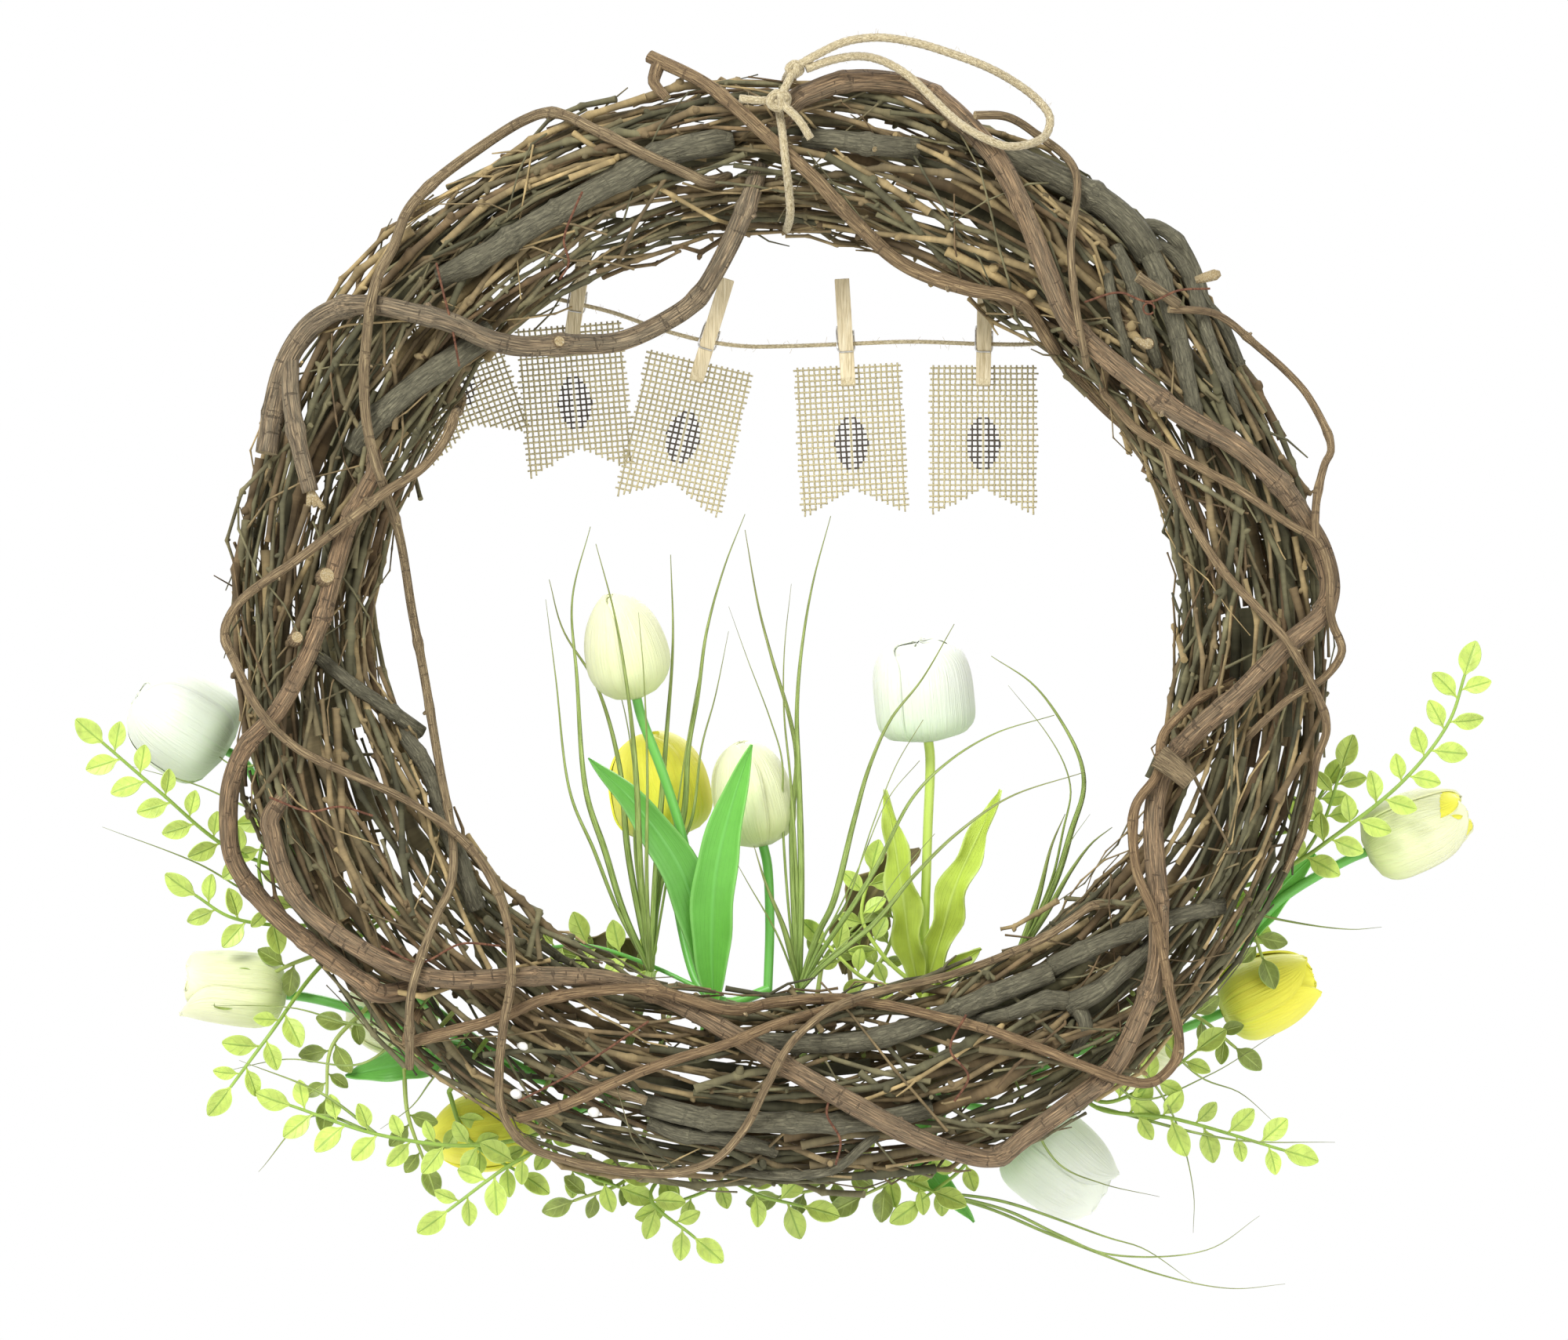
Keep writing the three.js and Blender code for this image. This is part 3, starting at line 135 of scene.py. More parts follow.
def between(low, high, share):
    """What lies at a share of the way from low to high, numbers or points."""
    return low + (high - low) * share


def placed(name, data):
    """A new object in the scene."""
    piece = bpy.data.objects.new(name, data)
    bpy.context.scene.collection.objects.link(piece)
    return piece


def keep_values(mesh, name, values, kind="FLOAT", field="value"):
    """Keep a value for each of a mesh's points."""
    mesh.attributes.new(name, kind, "POINT").data.foreach_set(field, values)


def settled(piece):
    """The plain mesh of a piece as its modifiers leave it. They are then removed."""
    bpy.context.view_layer.update()
    evaluated = piece.evaluated_get(bpy.context.evaluated_depsgraph_get())
    mesh = bpy.data.meshes.new_from_object(evaluated)
    piece.modifiers.clear()
    return mesh


def draw_from(seed):
    """A repeatable stream of numbers from 0 to 1, the same as the one that placed the solids."""
    full = 0xFFFFFFFF
    state = seed & full

    def draw():
        nonlocal state
        state = (state + 0x6D2B79F5) & full
        mixed = ((state ^ (state >> 15)) * (1 | state)) & full
        mixed = ((mixed + (((mixed ^ (mixed >> 7)) * (61 | mixed)) & full)) & full) ^ mixed
        return ((mixed ^ (mixed >> 14)) & full) / (full + 1)

    return draw


def spline(route, step, whole=False):
    """Evenly spaced points on the smooth line through a route, as the solids' lines run."""
    points = np.asarray(route, float)
    ends = np.vstack([2 * points[0] - points[1], points, 2 * points[-1] - points[-2]])
    share = np.linspace(0, 1, ROUTE_POINTS, endpoint=False)[:, None]
    fine = []
    for i in range(len(points) - 1):
        a, b, c, d = ends[i:i + 4]
        before, here, after = (
            max(float(np.linalg.norm(q - p)), 1e-4) ** 0.5 for p, q in ((a, b), (b, c), (c, d)))
        leave = ((b - a) / before - (c - a) / (before + here) + (c - b) / here) * here
        reach = ((c - b) / here - (d - b) / (here + after) + (d - c) / after) * here
        fine.append(b + leave * share + (-3 * b + 3 * c - 2 * leave - reach) * share ** 2
                    + (2 * b - 2 * c + leave + reach) * share ** 3)
    fine = np.vstack([*fine, points[-1:]])
    lengths = np.concatenate([[0], np.cumsum(np.linalg.norm(np.diff(fine, axis=0), axis=1))])
    count = math.ceil(lengths[-1] / step) if whole else max(2, round(lengths[-1] / step))
    even = np.linspace(0, lengths[-1], count + 1)
    return np.column_stack([np.interp(even, lengths, fine[:, k]) for k in range(3)])


def line_length(points):
    return float(np.linalg.norm(np.diff(points, axis=0), axis=1).sum())


def unit(vector):
    """A vector's direction, one long."""
    vector = np.asarray(vector, float)
    return vector / max(float(np.linalg.norm(vector)), 1e-9)


def turns_round(sides):
    """The angle of each side of a round section."""
    return np.arange(sides) * 2 * math.pi / sides


def directions(points):
    """At each point of a line: its direction and two directions across it that don't twist."""
    onward = np.gradient(points, axis=0)
    onward /= np.linalg.norm(onward, axis=1)[:, None]
    start = (0, 0, 1) if abs(onward[0][2]) < 0.8 else (1, 0, 0)
    side = unit(np.cross(onward[0], start))
    sides = []
    for direction in onward:
        side = unit(side - direction * np.dot(side, direction))
        sides.append(side)
    sides = np.array(sides)
    return onward, sides, np.cross(onward, sides)


class Body:
    """Points, faces and named values of a piece as it is put together."""

    def __init__(self):
        self.parts = []

    def add(self, points, faces, kinds, flat, **values):
        """A part whose last few faces are flat, as its ends or its rim are."""
        self.parts.append([np.asarray(points, float), faces, kinds, flat, values])

    def named_values(self, name):
        """One row of the named value for each point, with zeros where a part has none."""
        rows = []
        width = max(np.shape(values[name])[-1] if np.ndim(values[name]) > 1 else 1
                    for *_, values in self.parts if name in values)
        for points, *_, values in self.parts:
            value = np.asarray(values.get(name, 0.0), float)
            shape = (len(points), width) if width > 1 else (len(points),)
            rows.append(np.broadcast_to(value, shape))
        return np.concatenate(rows), width

    def build(self, name, materials):
        faces, kinds, smooth = [], [], []
        first = 0
        for points, part_faces, part_kinds, flat, _ in self.parts:
            faces.extend(tuple(corner + first for corner in face) for face in part_faces)
            kinds.extend(part_kinds)
            smooth.extend([True] * (len(part_faces) - flat) + [False] * flat)
            first += len(points)
        mesh = bpy.data.meshes.new(name)
        mesh.from_pydata(metres(np.vstack([points for points, *_ in self.parts])).tolist(), [], faces)
        for value_name in {key for *_, values in self.parts for key in values}:
            rows, width = self.named_values(value_name)
            kind, field = ("FLOAT_VECTOR", "vector") if width > 1 else ("FLOAT", "value")
            keep_values(mesh, value_name, rows.astype(np.float32).ravel(), kind, field)
        for material in materials:
            mesh.materials.append(material)
        mesh.polygons.foreach_set("material_index", kinds)
        mesh.polygons.foreach_set("use_smooth", smooth)
        mesh.update()
        return placed(name, mesh)


def add_tube(body, points, radii, sides, tone=0.5, kind=0, cut_kind=None, leaf=None):
    """A closed tube along points. radii has one value for each point, or one for each side of each point."""
    points = np.asarray(points, float)
    _, side, other = directions(points)
    turns = turns_round(sides)
    radii = np.asarray(radii, float)
    radii = np.repeat(radii[:, None], sides, axis=1) if radii.ndim == 1 else radii
    rings = points[:, None, :] + radii[:, :, None] * (
        side[:, None, :] * np.cos(turns)[None, :, None] + other[:, None, :] * np.sin(turns)[None, :, None])
    rows = len(points)
    run = np.concatenate([[0], np.cumsum(np.linalg.norm(np.diff(points, axis=0), axis=1))])
    grain = np.stack([
        np.cos(turns)[None, :] * radii, np.sin(turns)[None, :] * radii,
        np.repeat(run[:, None], sides, axis=1)], axis=2).reshape(-1, 3)
    faces = []
    for i in range(rows - 1):
        for j in range(sides):
            k = (j + 1) % sides
            faces.append((i * sides + j, i * sides + k, (i + 1) * sides + k, (i + 1) * sides + j))
    kinds = [kind] * len(faces) + [kind if cut_kind is None else cut_kind] * 2
    faces.append(tuple(reversed(range(sides))))
    faces.append(tuple(range((rows - 1) * sides, rows * sides)))
    values = {"grain": grain, "tone": tone}
    if leaf is not None:
        values["leaf"] = np.repeat(leaf, sides, axis=0)
    body.add(rings.reshape(-1, 3), faces, kinds, 2, **values)


def add_slab(body, point_at, columns, rows, thick, tone=0.5, kind=0):
    """A thin closed sheet over point_at(across from -1 to 1, along from 0 to 1)."""
    across = np.linspace(-1, 1, columns + 1)
    along = np.linspace(0, 1, rows + 1)
    middle = np.array([[point_at(u, v) for u in across] for v in along])
    sideways = np.gradient(middle, axis=1)
    onward = np.gradient(middle, axis=0)
    normal = np.cross(sideways, onward)
    normal /= np.maximum(np.linalg.norm(normal, axis=2), 1e-9)[:, :, None]
    upper = (middle + normal * thick / 2).reshape(-1, 3)
    lower = (middle - normal * thick / 2).reshape(-1, 3)
    wide = columns + 1
    under = len(upper)
    faces = []
    for i in range(rows):
        for j in range(columns):
            a, b, c, d = i * wide + j, i * wide + j + 1, (i + 1) * wide + j + 1, (i + 1) * wide + j
            faces.append((a, b, c, d))
            faces.append((under + d, under + c, under + b, under + a))
    for i in range(rows):
        left, right = i * wide, i * wide + columns
        faces.append((left, left + wide, under + left + wide, under + left))
        faces.append((right + wide, right, under + right, under + right + wide))
    for j in range(columns):
        end = rows * wide + j
        faces.append((j + 1, j, under + j, under + j + 1))
        faces.append((end, end + 1, under + end + 1, under + end))
    leaf = np.array([[u, v, 0] for v in along for u in across])
    body.add(np.vstack([upper, lower]), faces, [kind] * len(faces), 2 * (rows + columns),
             leaf=np.vstack([leaf, leaf]), tone=tone)


# Geometry node trees: sweeping a section along lines, and setting one small shape at many places

def tree_sockets(tree, *sockets):
    for name, way, kind in sockets:
        tree.interface.new_socket(name, in_out=way, socket_type="NodeSocket" + kind)


def set_input(tree, socket, value):
    """Link a socket to another one, or give it a plain value."""
    if isinstance(value, bpy.types.NodeSocket):
        tree.links.new(value, socket)
    else:
        socket.default_value = value


def new_node(tree, kind, inputs=(), **kinds):
    """The outputs of a new node, with its kinds set, such as its operation, and its inputs linked or set."""
    node = tree.nodes.new(kind)
    for name, value in kinds.items():
        setattr(node, name, value)
    for name, value in dict(inputs).items():
        set_input(tree, node.inputs[name], value)
    return node.outputs


def named(tree, name, data_type="FLOAT"):
    """The value of a named attribute."""
    return new_node(tree, "GeometryNodeInputNamedAttribute", {"Name": name}, data_type=data_type)["Attribute"]


def keep(tree, geometry, name, value, data_type="FLOAT"):
    """The geometry with a value kept on it under a name."""
    inputs = {"Geometry": geometry, "Name": name, "Value": value}
    return new_node(tree, "GeometryNodeStoreNamedAttribute", inputs, data_type=data_type)[0]


def scaled(tree, vector, scale):
    return new_node(tree, "ShaderNodeVectorMath", {0: vector, "Scale": scale}, operation="SCALE")[0]


def geometry_tree(title, sockets, make):
    """A tree that ends with real geometry that has a finish, made the first time that it is asked for."""
    tree = bpy.data.node_groups.get(title)
    if not tree:
        tree = bpy.data.node_groups.new(title, "GeometryNodeTree")
        tree.is_modifier = True
        tree_sockets(tree, *[(name, "INPUT", kind) for name, kind in (*sockets, ("Finish", "Material"))])
        tree_sockets(tree, ("Geometry", "OUTPUT", "Geometry"))
        start = new_node(tree, "NodeGroupInput")
        real = new_node(tree, "GeometryNodeRealizeInstances", {"Geometry": make(tree, start)})[0]
        done = new_node(tree, "GeometryNodeSetMaterial", {"Geometry": real, "Material": start["Finish"]})[0]
        new_node(tree, "NodeGroupOutput", {"Geometry": done})
    return tree


def sweep_tree():
    """A round section swept along lines, with the place across and along it kept as the grain."""

    def make(tree, start):
        lines = new_node(tree, "GeometryNodeMeshToCurve", {"Mesh": start["Lines"]})[0]
        lines = keep(tree, lines, "run", new_node(tree, "GeometryNodeSplineParameter")["Length"])
        circle = new_node(tree, "GeometryNodeCurvePrimitiveCircle", {
            "Resolution": start["Sides"], "Radius": 1})
        place = new_node(tree, "GeometryNodeInputPosition")[0]
        section = keep(tree, circle["Curve"], "section", place, "FLOAT_VECTOR")
        radius = named(tree, "radius")
        swept = new_node(tree, "GeometryNodeCurveToMesh", {
            "Curve": lines, "Profile Curve": section, "Scale": radius, "Fill Caps": True})[0]
        across = scaled(tree, named(tree, "section", "FLOAT_VECTOR"), radius)
        along = new_node(tree, "ShaderNodeCombineXYZ", {"Z": named(tree, "run")})[0]
        grain = new_node(tree, "ShaderNodeVectorMath", {0: across, 1: along}, operation="ADD")[0]
        swept = keep(tree, swept, "grain", scaled(tree, grain, 1000), "FLOAT_VECTOR")
        return new_node(tree, "GeometryNodeSetShadeSmooth", {"Geometry": swept})[0]

    return geometry_tree("Sweep along lines", [("Lines", "Geometry"), ("Sides", "Int")], make)


def scatter_tree():
    """A small shape set at points, each with its own turn and size."""

    def make(tree, start):
        return new_node(tree, "GeometryNodeInstanceOnPoints", {
            "Points": new_node(tree, "GeometryNodeMeshToPoints", {"Mesh": start["Places"]})[0],
            "Instance": new_node(tree, "GeometryNodeObjectInfo", {"Object": start["Shape"]})["Geometry"],
            "Rotation": named(tree, "turn", "QUATERNION"), "Scale": named(tree, "size")})[0]

    return geometry_tree("Set a shape at places", [("Places", "Geometry"), ("Shape", "Object")], make)


def run_tree(name, mesh, tree, inputs):
    """The plain mesh piece that a tree makes of a mesh."""
    source = placed(name + "_source", mesh)
    modifier = source.modifiers.new("Tree", "NODES")
    modifier.node_group = tree
    identifiers = {item.name: item.identifier for item in tree.interface.items_tree if item.in_out == "INPUT"}
    for socket, value in inputs.items():
        modifier[identifiers[socket]] = value
    result = settled(source)
    bpy.data.objects.remove(source)
    if not result.polygons:
        raise RuntimeError(f"{name}: the tree {tree.name} made no faces")
    result.name = name
    return placed(name, result)


def sweep(name, lines, material, sides):
    """One piece of tapered round lines: each line is its points, its radii and a tone from 0 to 1."""
    mesh = bpy.data.meshes.new(name + "_lines")
    points, edges, radii, tones = [], [], [], []
    for line, radius, tone in lines:
        first = len(radii)
        points.extend(metres(line).tolist())
        edges.extend((first + i, first + i + 1) for i in range(len(line) - 1))
        radii.extend(np.broadcast_to(np.asarray(radius, float) / 1000, (len(line),)))
        tones.extend([tone] * len(line))
    mesh.from_pydata(points, edges, [])
    keep_values(mesh, "radius", radii)
    keep_values(mesh, "tone", tones)
    return run_tree(name, mesh, sweep_tree(), {"Sides": sides, "Finish": material})


def scatter(name, places, shape, material):
    """One piece of a small shape set at places: each is a point, a turn, a size and a tone."""
    mesh = bpy.data.meshes.new(name + "_places")
    mesh.from_pydata(metres([p for p, *_ in places]).tolist(), [], [])
    keep_values(mesh, "turn", [part for _, turn, *_ in places for part in turn], "QUATERNION")
    keep_values(mesh, "size", [size for _, _, size, _ in places])
    keep_values(mesh, "tone", [tone for *_, tone in places])
    return run_tree(name, mesh, scatter_tree(), {"Shape": shape, "Finish": material})


def join(name, pieces):
    """Several pieces as one."""
    bpy.ops.object.select_all(action="DESELECT")
    for piece in pieces:
        piece.select_set(True)
    bpy.context.view_layer.objects.active = pieces[0]
    bpy.ops.object.join()
    pieces[0].name = name
    return pieces[0]


def stand_for(piece, slot, *nodes, body="root"):
    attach(piece, body)
    if nodes:
        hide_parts(*nodes)
    return piece


# Finishes

# Noise a millimetre, across and along, of the rings on bark, how deep light gets into leaves, in metres, and
# the colour of the ink
BARK_RINGS = (0.13, 0.13, 0.42)
LIGHT_DEPTH = (0.003, 0.003, 0.0015)
INK = (0.05, 0.035, 0.025)

# The leaf printed on each pennant, in millimetres
STENCIL_HEIGHT = 28
STENCIL_WIDTH = 15
STENCIL_RIB = 0.7


def value_group(name, inputs, make):
    """A shader node group of masks, built once. make gives the value of each of its outputs."""
    group = bpy.data.node_groups.get(name)
    if not group:
        group = bpy.data.node_groups.new(name, "ShaderNodeTree")
        tree_sockets(group, ("Place", "INPUT", "Vector"), *[(socket, "INPUT", "Float") for socket in inputs])
        masks = make(group, new_node(group, "NodeGroupInput"))
        tree_sockets(group, *[(socket, "OUTPUT", "Float") for socket in masks])
        new_node(group, "NodeGroupOutput", masks)
    return group


def grouped(tree, group, place, **values):
    """The outputs of a mask group at a place."""
    return new_node(tree, "ShaderNodeGroup", {"Place": place, **values}, node_tree=group)


def maths(tree, operation, first, second=0.0):
    return new_node(tree, "ShaderNodeMath", {0: first, 1: second}, operation=operation)[0]


def multiplied(tree, vector, factors):
    return new_node(tree, "ShaderNodeVectorMath", {0: vector, 1: factors}, operation="MULTIPLY")[0]


def spread(tree, value, low, high, first=0.0, last=1.0):
    """A value that goes from first to last as the given one goes from low to high."""
    return new_node(tree, "ShaderNodeMapRange", {
        "Value": value, "From Min": low, "From Max": high, "To Min": first, "To Max": last})["Result"]


def parts_of(tree, vector):
    return new_node(tree, "ShaderNodeSeparateXYZ", {0: vector})


def vector_of(tree, *parts):
    return new_node(tree, "ShaderNodeCombineXYZ", enumerate(parts))[0]


def noise(tree, place, detail=5.0):
    return new_node(tree, "ShaderNodeTexNoise", {
        "Vector": place, "Scale": 1, "Detail": detail, "Roughness": 0.62})["Fac"]


def grain_group():
    """Fibres that run along a coordinate's third axis, broad patches of them, thin cracks, and rings."""

    def make(tree, start):
        place, across, along = start["Place"], start["Across"], start["Along"]
        fine = multiplied(tree, place, vector_of(tree, across, across, along))
        edges = new_node(
            tree, "ShaderNodeTexVoronoi", {"Vector": fine, "Scale": 0.7}, feature="DISTANCE_TO_EDGE")
        return {
            "Fibres": spread(tree, noise(tree, fine), 0.33, 0.67),
            "Patches": spread(tree, noise(tree, scaled(tree, fine, 0.2)), 0.38, 0.62),
            "Cracks": spread(tree, edges["Distance"], 0.0, 0.09, 1, 0),
            "Rings": spread(tree, noise(tree, multiplied(tree, place, BARK_RINGS), 2), 0.63, 0.68),
        }

    return value_group("Grain", ("Across", "Along"), make)


def vein_group():
    """A leaf's middle rib and side veins, and its rim, where a highlight is painted, from its own across and
    along.
    """

    def make(tree, start):
        across, along, _ = parts_of(tree, start["Place"])
        off = maths(tree, "ABSOLUTE", across)
        lean = maths(tree, "MULTIPLY", along, start["Slant"])
        count = maths(tree, "MULTIPLY", off, start["Veins"])
        wave = maths(tree, "SINE", maths(tree, "SUBTRACT", lean, count))
        rib = spread(tree, off, 0.03, 0.13, 1, 0)
        fine = spread(tree, wave, 0.8, 1.0, 0, 0.28)
        return {"Lines": maths(tree, "MAXIMUM", rib, fine), "Rim": spread(tree, off, 0.86, 0.97)}

    return value_group("Veins", ("Veins", "Slant"), make)


def attribute(tree, name):
    return new_node(tree, "ShaderNodeAttribute", attribute_name=name)


def ramp(tree, value, *stops):
    """A colour for a value, from stops of a place and a colour. A plain number is a grey."""
    node = tree.nodes.new("ShaderNodeValToRGB")
    elements = node.color_ramp.elements
    while len(elements) < len(stops):
        elements.new(0.5)
    for element, (place, colour) in zip(elements, stops):
        element.position = place
        element.color = (*(colour if np.ndim(colour) else (colour,) * 3), 1)
    tree.links.new(value, node.inputs[0])
    return node.outputs[0]


def mix(tree, share, first, second, blend="MIX"):
    first, second = (
        value if isinstance(value, bpy.types.NodeSocket) else (*value, 1) for value in (first, second))
    inputs = {0: share, 6: first, 7: second}
    return new_node(tree, "ShaderNodeMix", inputs, data_type="RGBA", blend_type=blend)[2]


def toned(tree, colour, *shades):
    """A colour multiplied by one of a row of shades, by a piece's own tone."""
    stops = [(i / (len(shades) - 1), shade) for i, shade in enumerate(shades)]
    return mix(tree, 1.0, colour, ramp(tree, attribute(tree, "tone")["Fac"], *stops), "MULTIPLY")


def shaded(colour, share):
    return tuple(min(1.0, part * share) for part in colour)


def object_place(tree):
    """Object coordinates in millimetres."""
    return scaled(tree, new_node(tree, "ShaderNodeTexCoord")["Object"], 1000)


def new_finish(name, sockets):
    """A new material and its tree, with the values of the shader's sockets."""
    material = bpy.data.materials.new(name)
    material.use_nodes = True
    shader = material.node_tree.nodes["Principled BSDF"]
    for socket, value in sockets.items():
        shader.inputs[socket].default_value = value
    return material, material.node_tree


def coat(material, colour, height=None, relief=0.0):
    """The material with its colour and its relief, in millimetres, linked to the shader."""
    tree = material.node_tree
    shader = tree.nodes["Principled BSDF"]
    tree.links.new(colour, shader.inputs["Base Color"])
    if height is not None:
        bump = new_node(tree, "ShaderNodeBump", {"Height": height, "Distance": relief / 1000})
        tree.links.new(bump[0], shader.inputs["Normal"])
    return material


def fibre_finish(name, dark, middle, light, across, along, roughness=0.85, tones=(0.6, 1),
                 relief=0.5, place="grain", sheen=0.0, rings=0.0, patch=None):
    """Bark, rope or wood: fibres along the grain, patches, cracks and rings, the scales in millimetres."""
    material, tree = new_finish(name, {"Roughness": roughness, "Sheen Weight": sheen})
    where = object_place(tree) if place == "object" else attribute(tree, place)["Vector"]
    grain = grouped(tree, grain_group(), where, Across=1 / across, Along=1 / along)
    colour = ramp(tree, grain["Fibres"], (0.05, dark), (0.5, middle), (0.95, light))
    colour = mix(tree, maths(tree, "MULTIPLY", grain["Patches"], 0.45), colour, patch or middle)
    crack = maths(tree, "MULTIPLY", grain["Cracks"], 0.5)
    if rings:
        crack = maths(tree, "MAXIMUM", crack, maths(tree, "MULTIPLY", grain["Rings"], rings))
    colour = toned(tree, mix(tree, crack, colour, dark), *tones)
    return coat(material, colour, maths(tree, "SUBTRACT", grain["Fibres"], crack), relief)


def leaf_finish(name, base, vein, rim, roughness=0.45, veins=9.0, slant=42.0, blotch=0.35):
    """A leaf: veins and a paler rim, a painted highlight along its edges, over blotches of darker green."""
    material, tree = new_finish(
        name, {"Roughness": roughness, "Subsurface Weight": 0.1, "Subsurface Radius": LIGHT_DEPTH})
    lines = grouped(tree, vein_group(), attribute(tree, "leaf")["Vector"], Veins=veins, Slant=slant)
    spots = grouped(tree, grain_group(), object_place(tree), Across=0.16, Along=0.12)
    colour = mix(tree, maths(tree, "MULTIPLY", spots["Fibres"], blotch), base, shaded(base, 0.45))
    colour = mix(tree, maths(tree, "MULTIPLY", lines["Lines"], 0.55), colour, vein)
    # The paler rim is a painted highlight: light shining through the leaf's edges
    colour = mix(tree, maths(tree, "MULTIPLY", lines["Rim"], 0.6), colour, rim)
    return coat(material, toned(tree, colour, 0.72, 1), lines["Lines"], 0.25)


def petal_finish(name, base, foot, line):
    """A foam petal: fine ribs from foot to tip, and green at the foot."""
    material, tree = new_finish(name, {
        "Roughness": 0.5, "Sheen Weight": 0.1, "Subsurface Weight": 0.25, "Subsurface Radius": LIGHT_DEPTH})
    across, along, _ = parts_of(tree, attribute(tree, "leaf")["Vector"])
    ribs = grouped(tree, grain_group(), vector_of(tree, across, 0.0, along), Across=24.0, Along=1.2)
    colour = mix(tree, ramp(tree, along, (0, 0.9), (0.22, 0.3), (0.5, 0)), base, foot)
    ribbed = maths(tree, "MULTIPLY", ribs["Fibres"], spread(tree, along, 0.6, 0.92, 1, 0))
    colour = mix(tree, maths(tree, "MULTIPLY", ribbed, 0.4), colour, line)
    return coat(material, toned(tree, colour, 0.93, 1), ribbed, 0.35)


def burlap_finish(name):
    """Burlap threads with a plain leaf printed on them in faded ink, from the place on the pennant."""
    material, tree = new_finish(name, {"Roughness": 0.95, "Sheen Weight": 0.2})
    across, up, _ = parts_of(tree, attribute(tree, "leaf")["Vector"])
    fibres = grouped(tree, grain_group(), object_place(tree), Across=1.6, Along=1.6)["Fibres"]
    colour = toned(tree, ramp(tree, fibres, (0, (0.47, 0.39, 0.19)), (1, (0.84, 0.76, 0.48))), 0.8, 1)
    off = maths(tree, "ABSOLUTE", across)
    height = maths(tree, "DIVIDE", up, STENCIL_HEIGHT / 2)
    narrow = maths(tree, "SUBTRACT", 1.0, maths(tree, "MULTIPLY", height, height))
    inside = maths(tree, "GREATER_THAN", maths(tree, "MULTIPLY", narrow, STENCIL_WIDTH / 2), off)
    printed = maths(tree, "MULTIPLY", inside, maths(tree, "GREATER_THAN", off, STENCIL_RIB))
    return coat(material, mix(tree, maths(tree, "MULTIPLY", printed, 0.93), colour, INK), fibres, 0.3)


def plain_finish(name, dark, light, roughness, metallic=0.0):
    """A smooth finish with faint clouds: wire or glue."""
    material, tree = new_finish(name, {"Roughness": roughness, "Metallic": metallic})
    clouds = grouped(tree, grain_group(), object_place(tree), Across=0.6, Along=0.6)["Fibres"]
    return coat(material, ramp(tree, clouds, (0, dark), (1, light)))


def own(name):
    """A colour that the user may change."""
    return tuple(getattr(settings(), name))


def three_shades(name, dark, light):
    """A colour that the user may change, between a darker and a lighter one."""
    return shaded(own(name), dark), own(name), shaded(own(name), light)


